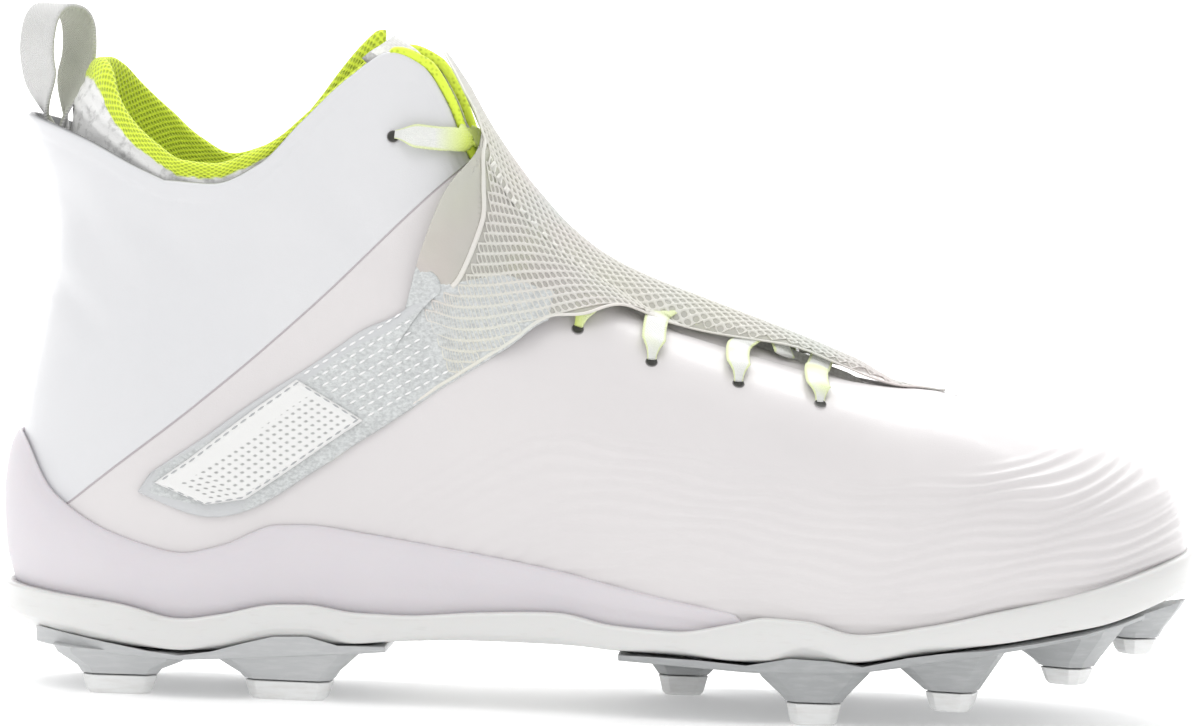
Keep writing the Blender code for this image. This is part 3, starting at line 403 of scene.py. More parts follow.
def make_piece(name, points, faces, material, nodes=(), fields=(), uv=None):
    """A piece from points in millimetres, with its named fields and its UV map."""
    mesh = bpy.data.meshes.new(name)
    points = (np.asarray(points, float).reshape(-1, 3) - ORIGIN) * MM
    faces = faces.tolist() if hasattr(faces, "tolist") else faces
    mesh.from_pydata(points.tolist(), [], [tuple(dict.fromkeys(f)) for f in faces])
    for label, values in dict(fields).items():
        layer = mesh.attributes.new(label, "FLOAT", "POINT")
        layer.data.foreach_set("value", np.asarray(values, np.float32).ravel())
    if uv is not None:
        corner = np.empty(len(mesh.loops), np.int32)
        mesh.loops.foreach_get("vertex_index", corner)
        layer = mesh.uv_layers.new(name="UVMap")
        layer.data.foreach_set("uv", np.asarray(uv, np.float32).reshape(-1, 2)[corner].ravel())
    mesh.validate()
    mesh.shade_smooth()
    mesh.materials.append(material)
    return add_piece(name, mesh, nodes)


def tube_faces(count, k):
    """Quads of a tube with k points a ring, and one face on each end."""
    a, r = np.arange(count - 1)[:, None], np.arange(k)[None, :]
    quads = np.stack([a * k + r, a * k + (r + 1) % k, (a + 1) * k + (r + 1) % k,
                      (a + 1) * k + r], -1).reshape(-1, 4).tolist()
    return quads + [list(range(k)), list(range((count - 1) * k, count * k))]


def tubes_piece(name, tubes, material, nodes=(), uvs=None, fields=()):
    """Several closed tubes (rings by points by 3) as one piece."""
    points = np.concatenate([t.reshape(-1, 3) for t in tubes])
    faces, start = [], 0
    for t in tubes:
        faces += [[start + v for v in f] for f in tube_faces(*t.shape[:2])]
        start += t.shape[0] * t.shape[1]
    uv = None if uvs is None else np.concatenate([u.reshape(-1, 2) for u in uvs])
    piece = make_piece(name, points, faces, material, nodes, fields, uv)
    return facing_out(piece, 1e-7)


def round_band(middle, up, width, height):
    """Flat rounded band: an ellipse of that width and height carried along a line of points."""
    forward = np.gradient(middle, axis=0)
    across = unit(np.cross(up, forward))
    turn = np.linspace(0, 2 * np.pi, 10, endpoint=False)
    return (middle[:, None] + across[:, None] * (np.cos(turn) * width / 2)[None, :, None]
            + up[:, None] * (np.sin(turn) * height / 2)[None, :, None])


def rework(mesh, change):
    """Opens a mesh for editing, makes one change to it and writes it back."""
    work = bmesh.new()
    work.from_mesh(mesh)
    change(work)
    work.to_mesh(mesh)
    work.free()


def weld(work, distance):
    """Joins the points that lie nearer to each other than distance."""
    bmesh.ops.remove_doubles(work, verts=work.verts, dist=distance)


def facing_out(piece, merge=1e-6):
    """Merges doubled points and turns the faces of a closed mesh outwards."""
    def change(work):
        weld(work, merge)
        bmesh.ops.recalc_face_normals(work, faces=work.faces)

    rework(piece.data, change)
    return piece


def finish(name, colour, rough, **sockets):
    """A Principled material; returns it with its node tree and shader."""
    material = bpy.data.materials.new(name)
    material.use_nodes = True
    tree = material.node_tree
    shader = tree.nodes["Principled BSDF"]
    shader.inputs["Base Color"].default_value = (*colour, 1)
    shader.inputs["Roughness"].default_value = rough
    for label, value in sockets.items():
        shader.inputs[label.replace("_", " ")].default_value = value
    return material, tree, shader


def add(tree, kind, inputs=(), **settings):
    """A node with its settings, its input values or links given by name or number."""
    node = tree.nodes.new("ShaderNode" + kind)
    for label, value in settings.items():
        setattr(node, label, value)
    for label, value in dict(inputs).items():
        if hasattr(value, "links"):
            tree.links.new(value, node.inputs[label])
        else:
            node.inputs[label].default_value = value
    return node


def place(tree, scale=(1, 1, 1), turn=(0, 0, 0), kind="Object"):
    """Object or UV coordinates, scaled and turned."""
    source = add(tree, "TexCoord").outputs[kind]
    return add(tree, "Mapping", {"Vector": source, "Scale": scale, "Rotation": turn}).outputs[0]


def grain(tree, vector, scale, detail=3.0, rough=0.5):
    """Noise from 0 to 1 at a number of cells a metre."""
    return add(tree, "TexNoise", {"Vector": vector, "Scale": scale, "Detail": detail,
                                  "Roughness": rough}).outputs["Fac"]


def maths(tree, operation, a, b=0.0, clamp=False):
    """One arithmetic step on two values or links."""
    return add(tree, "Math", {0: a, 1: b}, operation=operation, use_clamp=clamp).outputs[0]


def ramp(tree, value, low, high, a=0.0, b=1.0):
    """Straight ramp of value from low..high to a..b, clamped."""
    return add(tree, "MapRange", {"Value": value, "From Min": low, "From Max": high,
                                  "To Min": a, "To Max": b}).outputs[0]


def two_colours(tree, factor, a, b):
    """Colour a where the factor is 0, b where it is 1."""
    mixed = add(tree, "Mix", {0: factor}, data_type="RGBA")
    for socket, value in ((6, a), (7, b)):
        if hasattr(value, "links"):
            tree.links.new(value, mixed.inputs[socket])
        else:
            mixed.inputs[socket].default_value = (*value, 1)
    return mixed.outputs[2]


def colour_by(tree, shader, socket):
    """Lets a link set the base colour."""
    tree.links.new(socket, shader.inputs["Base Color"])


def bumps(tree, shader, *layers):
    """Adds bump layers (height, distance in mm, strength) one on the other."""
    normal = None
    for height, distance, strength in layers:
        node = add(tree, "Bump", {"Height": height, "Distance": distance * MM,
                                  "Strength": strength})
        if normal:
            tree.links.new(normal, node.inputs["Normal"])
        normal = node.outputs[0]
    tree.links.new(normal, shader.inputs["Normal"])


def field(tree, name):
    """A value that the piece's points carry under a name."""
    return add(tree, "Attribute", attribute_name=name).outputs["Fac"]


def floor_set():
    """Floor with a backdrop that curves up behind, far wider than any view needs."""
    across = np.linspace(-9, 9, 3)
    turn = np.linspace(0, np.pi / 2, 9)
    line = np.concatenate([[[-9.0, 0.0]], np.stack([1.6 + np.sin(turn), 1 - np.cos(turn)], 1),
                           [[2.6, 6.0]]])
    points = np.array([[(x, y, z) for y, z in line] for x in across]).reshape(-1, 3)
    mesh = bpy.data.meshes.new("studio_floor")
    mesh.from_pydata(points.tolist(), [], strip_quads(3, len(line))[:, ::-1].tolist())
    mesh.shade_smooth()
    plain = finish("studio_white", (0.93, 0.93, 0.93), 0.9, Emission_Color=(1, 1, 1, 1),
                   Emission_Strength=0.22)[0]
    mesh.materials.append(plain)
    stage = bpy.data.objects.new("studio_floor", mesh)
    bpy.context.scene.collection.objects.link(stage)


floor_set()

# %% [markdown]
# ## The moulded shell
#
# On the boot, the ankle panel and the vamp are two sheets welded along a slanting seam, and the
# vamp carries fine raised contour lines that wrap the toe. The outer face is one grid of points
# pushed out along its normals by that relief; the inner face lies one wall further in. Making
# both by formula keeps the rolled rim even, where a sculpted sheet would thin out at the edge.

# %% Relief of the shell
SEAM = ((10, 40.0), (20.8, 48.6), (29.3, 55.6), (52.6, 74.5), (79.3, 98.6), (108.2, 127.6),
        (118.3, 136.8), (126, 144.0))      # where the ankle panel meets the vamp, x and z
# soft creases: side, x and z of one end, x and z of the other, half width, depth
CREASES = (
    (OUTER, 15, 128, 30, 108, 4.0, 0.55), (OUTER, 13, 104, 27, 92, 3.2, 0.40),
    (OUTER, 30, 122, 47, 112, 4.2, 0.35), (OUTER, 84, 128, 100, 112, 4.0, 0.35),
    (OUTER, 60, 112, 78, 118, 4.5, 0.30), (OUTER, 150, 84, 176, 70, 4.6, 0.50),
    (OUTER, 176, 78, 204, 62, 5.0, 0.50), (OUTER, 202, 74, 226, 60, 4.6, 0.38),
    (INNER, 14, 124, 30, 106, 4.0, 0.50), (INNER, 40, 112, 62, 104, 4.4, 0.40),
    (INNER, 150, 82, 176, 68, 4.6, 0.50), (INNER, 178, 78, 206, 60, 5.0, 0.50),
)


def crease_relief(side, x, z):
    """Trough along each segment with a low ridge on both sides, fading at its ends."""
    relief = np.zeros_like(x)
    for where, x0, z0, x1, z1, width, depth in CREASES:
        if where != side:
            continue
        length = np.hypot(x1 - x0, z1 - z0)
        share = ((x - x0) * (x1 - x0) + (z - z0) * (z1 - z0)) / length ** 2
        away = np.abs((x - x0) * (z1 - z0) - (z - z0) * (x1 - x0)) / length
        ends = ease(-0.35, 0.2, share) * (1 - ease(0.8, 1.35, share))
        trough = -np.exp(-(away / width) ** 2) + 0.45 * np.exp(-((away - 2 * width) / width) ** 2)
        relief += depth * ends * trough
    return relief


def roof(x):
    """Height of the throat's edge or of the ridge ahead of it."""
    return np.where(x < TOE_X, column_of(SECTIONS, SECTION_NAMES, "top", x), along(RIDGE, x))


RIB_PITCH, RIB_TURN_X, RIB_START_X = 3.5, 152.0, 80.0
RIB_END = (43, 48)                         # the ribs fade out between these distances, in mm


def contour_lines(x, z):
    """Ribs at even distances from the sole's edge, turning down behind RIB_TURN_X into arcs."""
    high = z - foot_edge(x)
    reach = np.hypot(high, 0.75 * np.maximum(0.0, RIB_TURN_X - x))
    pitch = RIB_PITCH - 0.7 * ease(190, 235, x) + 0.5 * ease(262, 296, x)
    wave = (0.34 * np.sin(0.085 * x + 0.12 * high) + 0.2 * np.sin(0.19 * x - 0.26 * high + 1.0)
            + 0.55 * np.exp(-((x - 132) / 13) ** 2 - ((high - 13) / 8) ** 2)
            - 0.6 * np.exp(-((x - 196) / 22) ** 2 - ((high - 24) / 7) ** 2))
    rib = (0.5 + 0.5 * np.cos(2 * np.pi * (reach / pitch + wave))) ** 1.5
    limit = 0.64 + 0.27 * ease(232, 280, x)
    share = high / np.maximum(roof(x) - foot_edge(x), 1.0)
    inside = (1 - ease(limit - 0.05, limit + 0.05, share)) * (1 - ease(*RIB_END, reach))
    return rib * np.where(x < RIB_START_X, 0.0, inside) * (0.26 + 0.32 * ease(200, 285, x))


SEAM_LEAN = 0.73                           # cosine of the seam's usual slope


def seam_side(x, z):
    """Distance from the seam in millimetres, positive on the ankle panel."""
    return (z - along(SEAM, x)) * SEAM_LEAN


side_sign = np.where(np.arange(COLUMNS) <= COLUMNS // 2, OUTER, INNER)[:, None]
X, Z = SHELL[:, :, 0], SHELL[:, :, 2]
from_seam = seam_side(X, Z)
rim_depth = np.maximum(SHELL[:, -1:, 2] - Z, 0.0)
open_top = SHELL[:, -1:, 0] < THROAT_X - 1e-6
fold = np.where(open_top & (X < 121), 1 - ease(3.2, 4.4, rim_depth), 0.0)
swell = (0.16 * np.sin(0.075 * X + 1.3) * np.sin(0.09 * Z)
         + 0.12 * np.sin(0.16 * X - 0.11 * Z) * np.sin(0.13 * Z + 2.0))
lift = (0.4 * (1 - ease(-0.9, 0.9, from_seam)) + 0.22 * fold + contour_lines(X, Z) + swell
        + np.where(side_sign == OUTER, crease_relief(OUTER, X, Z), crease_relief(INNER, X, Z)))
lift *= 0.25 + 0.75 * ease(0.0, 0.05, T_ROWS)[None, :]
print("relief from", round(float(lift.min()), 2), "to", round(float(lift.max()), 2), "mm")

# %% Shell: outer face, rolled rim and inner face
RIM_TURN = np.radians([38, 90, 142])       # where the rim's three extra rows lie on their arc
INNER_ROWS = np.linspace(ROWS - 1, 0, 15).astype(int)


def toe_columns():
    """Columns of the toe sweep, which all meet in one point on the ridge."""
    return np.abs(SHELL[:, -1, 0] - TOE_X) < 1e-6


def shell_mesh():
    """Rows up the outside, over the rim and down the inside, one loop a column."""
    out = OUT.copy()
    closed = ~open_top[:, 0]
    out[closed, -1] = out[closed, -1] + out[MIRROR[closed], -1]
    pole = toe_columns()
    out[pole, -1] = (0.0, 0.0, 1.0)
    out[closed, -1] /= np.linalg.norm(out[closed, -1], axis=1, keepdims=True)
    face = SHELL + out * lift[:, :, None]
    up = unit(face[:, -1] - face[:, -3])
    up[closed] = 0.0
    middle, half = face[:, -1] - out[:, -1] * WALL / 2, out[:, -1] * WALL / 2
    rim = [middle + half * np.cos(a) + up * 0.8 * np.sin(a) for a in RIM_TURN]
    inside = (SHELL - out * WALL)[:, INNER_ROWS]
    inside[:, 0] = face[:, -1] - out[:, -1] * WALL
    grid = np.concatenate([face, np.stack(rim, 1), inside], 1)
    rows = grid.shape[1]
    index = np.arange(COLUMNS * rows).reshape(COLUMNS, rows)
    shared = range(ROWS - 1, ROWS + len(RIM_TURN) + 1)
    mirrored = closed & (np.arange(COLUMNS) > COLUMNS // 2)
    first = int(np.flatnonzero(pole)[0])
    for row in shared:
        index[mirrored, row] = index[MIRROR[mirrored], row]
        index[pole, row] = index[first, row]
    a, b = np.arange(COLUMNS), (np.arange(COLUMNS) + 1) % COLUMNS
    faces = []
    for r in range(rows):
        s = (r + 1) % rows
        keep = ~(closed[a] & closed[b]) if r in shared and s in shared else np.full(COLUMNS, True)
        faces.append(np.stack([index[a, r], index[b, r], index[b, s], index[a, s]], 1)[keep])
    faces = np.concatenate(faces)
    used, faces = np.unique(faces, return_inverse=True)
    row_of = np.tile(np.arange(rows), COLUMNS)[used]
    return grid.reshape(-1, 3)[used], faces.reshape(-1, 4), (row_of >= ROWS + 1).astype(float)


shell_points, shell_faces, shell_inside = shell_mesh()
print(len(shell_faces), "faces in the shell")

# %% [markdown]
# ## Finish of the shell
#
# The two sheets differ in tint: the ankle panel is a cool white, the vamp a warmer, slightly
# glossier one. The border between them is read from the seam's own curve on Object coordinates,
# which stays sharp however far the grid's points lie apart. A fine leather-like grain sits in
# the bump, and the inside is a dark gray lining.

# %% Material of the shell


CURVE_TOP = 150.0                          # height that the curve's value 1 stands for, in mm


def seam_factor(tree):
    """1 on the vamp and 0 on the ankle panel, from a curve of height against length."""
    spot = add(tree, "SeparateXYZ", {0: add(tree, "TexCoord").outputs["Object"]})
    share = ramp(tree, spot.outputs[0], (SEAM[0][0] - ORIGIN[0]) * MM,
                 (SEAM[-1][0] - ORIGIN[0]) * MM)
    curve = add(tree, "FloatCurve", {"Value": share})
    line = curve.mapping.curves[0]
    for x, z in SEAM[1:-1]:
        line.points.new((x - SEAM[0][0]) / (SEAM[-1][0] - SEAM[0][0]), z / CURVE_TOP)
    line.points[0].location = (0.0, SEAM[0][1] / CURVE_TOP)
    line.points[len(SEAM) - 1].location = (1.0, SEAM[-1][1] / CURVE_TOP)
    curve.mapping.update()
    above = maths(tree, "SUBTRACT", spot.outputs[2],
                  maths(tree, "MULTIPLY", curve.outputs[0], CURVE_TOP * MM))
    return ramp(tree, above, 0.0003, -0.0003), above


def shell_finish():
    """Cool ankle, warm vamp, a dark groove between them, fine pores and soft dents."""
    material, tree, shader = finish("moulded_shell", (0.8, 0.79, 0.81), 0.42,
                                    Coat_Weight=0.2, Coat_Roughness=0.24, IOR=1.46)
    vamp, above = seam_factor(tree)
    spot = place(tree)
    cloud = grain(tree, spot, 26.0, 2.0)
    cool = two_colours(tree, cloud, (0.675, 0.68, 0.70), (0.71, 0.71, 0.722))
    warm = two_colours(tree, cloud, (0.675, 0.65, 0.655), (0.71, 0.685, 0.685))
    panels = two_colours(tree, vamp, cool, warm)
    groove = maths(tree, "SUBTRACT", 1.0, ramp(tree, maths(tree, "ABSOLUTE", above), 0.00012,
                                               0.0005), clamp=True)
    panels = two_colours(tree, maths(tree, "MULTIPLY", groove, 0.75), panels,
                         (0.36, 0.30, 0.33))
    colour_by(tree, shader, two_colours(tree, field(tree, "inside"), panels,
                                        (0.16, 0.16, 0.17)))
    pores = grain(tree, spot, 2400.0, 2.0)
    dents = grain(tree, spot, 60.0, 2.0)
    tree.links.new(ramp(tree, grain(tree, spot, 340.0), 0.3, 0.7, 0.36, 0.5),
                   shader.inputs["Roughness"])
    bumps(tree, shader, (dents, 0.5, 0.25), (pores, 0.06, 0.5), (groove, -0.5, 0.5))
    return material


upper = make_piece("moulded_upper", shell_points, shell_faces, shell_finish(), ("upper",),
                   {"inside": shell_inside})

# %% [markdown]
# ## Midsole, plate and insole
#
# These three follow the shell's own skin: each is a stack of rings whose height and distance
# from the shell are functions of x. The foam wall climbs round the heel and thins out under the
# ball of the foot; the plate is a shallow tray whose rim rises and falls in waves over the studs.

# %% Rings that follow the shell
FOOT_X = SHELL[:, 0, 0]                    # x of each column where it meets the sole


def level_out():
    """Level direction away from the shoe at every column."""
    along_foot = np.roll(SHELL[:, 0], -1, 0) - np.roll(SHELL[:, 0], 1, 0)
    out = unit(np.stack([along_foot[:, 1], -along_foot[:, 0], np.zeros(COLUMNS)], 1))
    return out * np.sign((out * (SHELL[:, 0] - SHELL[:, 0].mean(0))).sum())


LEVEL_OUT = level_out()
SKIN_HEIGHTS = np.maximum.accumulate(SHELL[:, :, 2], axis=1) + np.arange(ROWS) * 1e-7


def ring(height, out):
    """The shell's skin at height z of each column, moved level outwards."""
    height = np.broadcast_to(height, (COLUMNS,))
    above = (SKIN_HEIGHTS < height[:, None]).sum(1).clip(1, ROWS - 1)
    c = np.arange(COLUMNS)
    low, high = SKIN_HEIGHTS[c, above - 1], SKIN_HEIGHTS[c, above]
    share = ((height - low) / (high - low)).clip(0, 1)[:, None]
    points = SHELL[c, above - 1] * (1 - share) + SHELL[c, above] * share
    points = points + LEVEL_OUT * np.broadcast_to(out, (COLUMNS,))[:, None]
    points[:, 2] = height
    return points


def ring_body(name, rings, material, node):
    """Closed body through rings round the shoe; first and last ring are filled across."""
    grid = np.stack(rings, 1)
    rows = grid.shape[1]
    index = np.arange(COLUMNS * rows).reshape(COLUMNS, rows)
    faces = [strip_quads(COLUMNS, rows, closed=True)]
    half = np.arange(COLUMNS // 2)
    for row in (0, rows - 1):
        faces.append(np.stack([index[half, row], index[half + 1, row],
                               index[MIRROR[half + 1], row], index[MIRROR[half], row]], 1))
    return facing_out(make_piece(name, grid, np.concatenate(faces), material, (node,)))


def foam_rings():
    """Rounded foot, gently bulged wall, soft crest and a straight inner wall."""
    low, share = floor_top(FOOT_X) + GAP, sole("share", FOOT_X)
    has = share > 0.01
    part = np.minimum(1.0, share / 0.5)
    crest = foam_top(FOOT_X) + 0.2 + part ** 2 * np.maximum(
        sole("cup", FOOT_X) - foam_top(FOOT_X), 1.0)
    wall = np.where(has, GAP + np.maximum(0.3, share * CUP_WALL) - 0.15, -1.6)
    inner = np.where(has, GAP, -2.8)
    tall = np.maximum(crest - low - 0.8, 0.4)
    rings = [ring(low, wall - 1.2), ring(low + 0.3, wall - 0.3)]
    for f in np.linspace(0.0, 0.86, 12):
        bulge = share * (0.35 * np.sin(np.pi * f) - 0.25 * np.exp(-((f - 0.42) / 0.09) ** 2))
        rings.append(ring(low + 0.8 + tall * f, wall + np.where(has, bulge, 0.0)))
    for turn in np.radians([25, 50, 72, 90]):
        slope = inner + 0.25 + (wall - inner - 0.25) * np.cos(turn)
        rings.append(ring(low + 0.8 + tall * (0.86 + 0.14 * np.sin(turn)), slope))
    for f in (0.97, 0.7, 0.4, 0.0):
        rings.append(ring(foam_top(FOOT_X) + (crest - foam_top(FOOT_X)) * f, inner))
    return rings


def plate_rings():
    """Underside, a wavy rim with rounded edges, and the tray's inner wall and floor."""
    inside = GAP + 0.15 + sole("share", FOOT_X) * (CUP_WALL + GAP)
    outside = inside + RIM_WALL
    under, low, top = (sole(n, FOOT_X) for n in ("under", "rim_low", "rim_top"))
    rings = [ring(under, outside - 6.0), ring(under * 0.6 + low * 0.4, outside - 3.2),
             ring(low, outside - 0.9), ring(low + 0.35, outside - 0.3), ring(low + 1.0, outside)]
    for f in (0.25, 0.5, 0.75):
        rings.append(ring(low + 1.0 + (top - 1.8 - low) * f, outside + 0.25 * np.sin(np.pi * f)))
    rings += [ring(top - 0.8, outside), ring(top - 0.25, outside - 0.3), ring(top, outside - 0.9),
              ring(top, inside), ring((top + floor_top(FOOT_X)) / 2, inside),
              ring(floor_top(FOOT_X), inside)]
    return rings


def insole_rings():
    """Thin cushion with a raised edge, inset from the lining."""
    low = foam_top(FOOT_X) + GAP
    inset = -(WALL + 1.2)
    return [ring(low, inset - 0.8), ring(low + 0.8, inset), ring(low + 2.2, inset),
            ring(low + 2.8, inset - 0.4), ring(low + 3.0, inset - 1.2),
            ring(low + 2.4, inset - 4.0), ring(low + 2.0, inset - 9.0)]


# %% Finishes of the foam, the plate and the insole


def foam_finish():
    """Pale lavender foam: a faint cloud of tint, soft dents and a pebbled skin."""
    material, tree, shader = finish("lavender_foam", (0.70, 0.67, 0.73), 0.55,
                                    Subsurface_Weight=0.05, Subsurface_Scale=0.002)
    spot = place(tree)
    cloud = grain(tree, spot, 30.0, 2.0)
    colour_by(tree, shader, two_colours(tree, cloud, (0.635, 0.603, 0.64), (0.68, 0.65, 0.672)))
    pebbles = add(tree, "TexVoronoi", {"Vector": spot, "Scale": 900.0}).outputs["Distance"]
    bumps(tree, shader, (grain(tree, spot, 80.0, 2.0), 0.4, 0.25), (pebbles, 0.05, 0.5))
    return material


def plate_finish():
    """White plastic with long scuffs that hold a little dirt."""
    material, tree, shader = finish("white_plate", (0.69, 0.69, 0.68), 0.34, Coat_Weight=0.1,
                                    Coat_Roughness=0.3, Subsurface_Weight=0.04,
                                    Subsurface_Scale=0.002)
    spot = place(tree)
    scuffs = add(tree, "TexNoise", {"Vector": place(tree, (30, 8, 160)), "Scale": 6.0,
                                    "Detail": 4.0}).outputs["Fac"]
    dirt = ramp(tree, scuffs, 0.60, 0.76)
    colour_by(tree, shader, two_colours(tree, maths(tree, "MULTIPLY", dirt, 0.35),
                                        (0.69, 0.69, 0.68), (0.60, 0.59, 0.57)))
    tree.links.new(ramp(tree, scuffs, 0.4, 0.7, 0.3, 0.46), shader.inputs["Roughness"])
    bumps(tree, shader, (grain(tree, spot, 1500.0), 0.05, 0.4), (scuffs, 0.1, 0.3))
    return material


def cloth_finish(name, light, dark, pitch):
    """Small cells at a pitch in mm make a woven grain, with painted shade along their sunken
    borders and a soft sheen on top.
    """
    material, tree, shader = finish(name, light, 0.85, Sheen_Weight=0.25, Sheen_Roughness=0.5)
    spot = place(tree, (1 / (pitch * MM),) * 3)
    weave = add(tree, "TexVoronoi", {"Vector": spot, "Scale": 1.0, "Randomness": 0.25},
                feature="F1").outputs["Distance"]
    cloud = grain(tree, place(tree), 60.0, 3.0)
    # painted shade: the sunken borders between cells are coloured darker, more so where the cloud
    # is high
    shade = maths(tree, "MULTIPLY", ramp(tree, weave, 0.2, 0.75), ramp(tree, cloud, 0.3, 0.7,
                                                                       0.5, 1.0))
    colour_by(tree, shader, two_colours(tree, shade, light, dark))
    bumps(tree, shader, (cloud, 0.3, 0.3), (weave, -0.25, 0.7))
    return material


midsole = ring_body("foam_midsole", foam_rings(), foam_finish(), "midsole")
plate = ring_body("wavy_plate", plate_rings(), plate_finish(), "plate")
insole = ring_body("insole_cushion", insole_rings(),
                   cloth_finish("insole_cloth", (0.23, 0.24, 0.25), (0.12, 0.12, 0.13), 1.2),
                   "insole")
print("midsole, plate and insole made")

# %% [markdown]
# ## Studs
#
# The gray bases and their white tips are hard, faceted mouldings, so the solids already have the
# right shape. A copy of each is merged, its loose triangles are joined into flat facets, and a
# narrow bevel rounds every edge: that is what catches the light on moulded plastic.

# %% Studs from the solids


def bevelled_copy(node, name, width, material):
    """Merges a solid's triangles into facets and rounds the edges between them."""
    work = bmesh.new()
    work.from_mesh(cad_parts[node].data)
    weld(work, 2e-6)
    bmesh.ops.dissolve_limit(work, angle_limit=np.radians(3.0), verts=work.verts,
                             edges=work.edges)
    mesh = bpy.data.meshes.new(name)
    work.to_mesh(mesh)
    work.free()
    mesh.materials.append(material)
    mesh.shade_smooth()
    bevel = add_piece(name, mesh, (node,)).modifiers.new("rounded edges", "BEVEL")
    bevel.width, bevel.segments, bevel.limit_method = width * MM, 2, "ANGLE"
    bevel.angle_limit, bevel.harden_normals = np.radians(14.0), True


def hard_plastic(name, base, worn, rough):
    """Plastic that turns from its base to its worn colour along upright streaks."""
    material, tree, shader = finish(name, base, rough, Coat_Weight=0.15, Coat_Roughness=0.25)
    spot = place(tree)
    streaks = add(tree, "TexNoise", {"Vector": place(tree, (60, 60, 340)), "Scale": 3.0,
                                     "Detail": 4.0}).outputs["Fac"]
    colour_by(tree, shader, two_colours(tree, ramp(tree, streaks, 0.45, 0.75), base, worn))
    tree.links.new(ramp(tree, streaks, 0.3, 0.7, rough, rough + 0.14),
                   shader.inputs["Roughness"])
    bumps(tree, shader, (grain(tree, spot, 1100.0), 0.06, 0.5), (streaks, 0.12, 0.3))
    return material


gray_plastic = hard_plastic("gray_base", (0.375, 0.385, 0.39), (0.44, 0.45, 0.455), 0.36)
pale_plastic = hard_plastic("pale_base", (0.49, 0.50, 0.505), (0.55, 0.555, 0.56), 0.36)
white_plastic = hard_plastic("white_tip", (0.83, 0.835, 0.83), (0.76, 0.755, 0.74), 0.32)
for node in sorted(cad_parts):
    if node.endswith("_outsole"):
        bevelled_copy(node, node.replace("outsole", "stud_bases"), 0.35,
                      pale_plastic if node.startswith("heel") else gray_plastic)
    elif node.startswith("tip_"):
        bevelled_copy(node, "stud_" + node, 0.3, white_plastic)
print("studs:", sum(n.startswith("tip_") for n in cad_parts))

# %% [markdown]
# ## Lying on the shell and over the instep
#
# The tongue, the laces, the net and the strap all lie on one surface: over the sides it is the
# shell itself, and between the throat's two edges it follows the crown of the tongue. A place on
# it is x and q, where q runs from -2 at the outer edge of the sole over -1 and 1 at the throat
# to 2 at the inner edge. Writing every cover as x and q makes it follow the shoe by itself.

# %% The surface over the instep
INSTEP = ((250, 78.0), (236, 79.6), (222, 83.4), (202, 91.0), (177, 99.8), (160, 106.0),
          (150, 111.0), (140, 118.6), (132, 127.0), (122, 138.6), (114, 149.6), (107, 160.0),
          (101, 167.0))                    # middle line of the tongue's face, x and z


def shell_place(side, x, t, out):
    """The body of the shell at x and share t, moved out along its own normal."""
    d = 1e-3
    step_x = body_point(side, x + d, t) - body_point(side, x - d, t)
    step_t = (body_point(side, x, np.minimum(t + d, 1.0))
              - body_point(side, x, np.maximum(t - d, 0.0)))
    return body_point(side, x, t) + unit(np.cross(step_x, step_t) * -side) * out[..., None]


def crown_table():
    """Rise of the instep line over the throat's middle, and its direction, by x."""
    rows = np.array(INSTEP, float)
    reach = reach_along(rows)
    at = np.linspace(0, reach[-1], 3000)
    line = np.stack([smooth(at, reach, rows[:, 0]), smooth(at, reach, rows[:, 1])], 1)
    tangent = unit(np.gradient(line, axis=0))
    normal = np.stack([-tangent[:, 1], tangent[:, 0]], 1)
    normal *= np.sign(normal[:, 1:])
    xs = np.linspace(92, 250, 317)
    middle = (body_point(OUTER, xs, 1.0) + body_point(INNER, xs, 1.0))[:, [0, 2]] / 2
    gap = line[None] - middle[:, None]
    off = np.abs((gap * tangent[None]).sum(2)) + 0.02 * np.linalg.norm(gap, axis=2)
    near = off.argmin(1)
    rise = ((line[near] - middle) * normal[near]).sum(1)
    return xs, rise, normal[near]


CROWN_X, CROWN_RISE, CROWN_OUT = crown_table()


def over(x, q, out=0.0):
    """Point over the instep at x and q, moved out of the surface by out millimetres."""
    x, q, out = (np.asarray(v, float) for v in np.broadcast_arrays(x, q, out))
    share = np.clip(2 - np.abs(q), 0, 1)
    side = np.where((q < 0)[..., None], shell_place(OUTER, x, share, out),
                    shell_place(INNER, x, share, out))
    a, b = body_point(OUTER, x, np.ones_like(x)), body_point(INNER, x, np.ones_like(x))
    s = ((q + 1) / 2)[..., None]
    rise = 4 * s * (1 - s) * np.interp(x, CROWN_X, CROWN_RISE)[..., None] + out[..., None]
    push = np.stack([np.interp(x, CROWN_X, CROWN_OUT[:, 0]), np.zeros_like(x),
                     np.interp(x, CROWN_X, CROWN_OUT[:, 1])], -1)
    return np.where((np.abs(q) >= 1)[..., None], side, a + (b - a) * s + push * rise)


def place_q(x, z):
    """q of a height z on the outer side, found by halving the section's share."""
    x, z = (np.asarray(v, float) for v in np.broadcast_arrays(x, z))
    low, high = np.zeros_like(x), np.ones_like(x)
    for _ in range(30):
        middle = (low + high) / 2
        below = body_point(OUTER, x, middle)[..., 2] < z
        low, high = np.where(below, middle, low), np.where(below, high, middle)
    return -2 + (low + high) / 2


# %% [markdown]
# ## Tongue and cuff
#
# The boot is closed by a soft knitted cuff with a bright mesh lining rolled over its edge, and
# by a padded tongue under the laces. Both are closed padded forms: a face, an edge that is
# rolled round, and a lining face behind it. Their padding is swollen by formula, because the
# wall is thin and held by the shell, where a cloth simulation would only push it into the shell.

# %% Tongue
TONGUE_X = (226, 217, 205, 190, 174, 158, 144, 133, 124, 117, 111, 106, 101)
TONGUE_UNDER = WALL + GAP + 0.9            # depth of the tongue's edges under the shell's face
TONGUE_THICK = 3.2
TONGUE_TOP = np.array([-6.0, 0.0, 3.6])    # how far the tongue goes on past the shell's peak


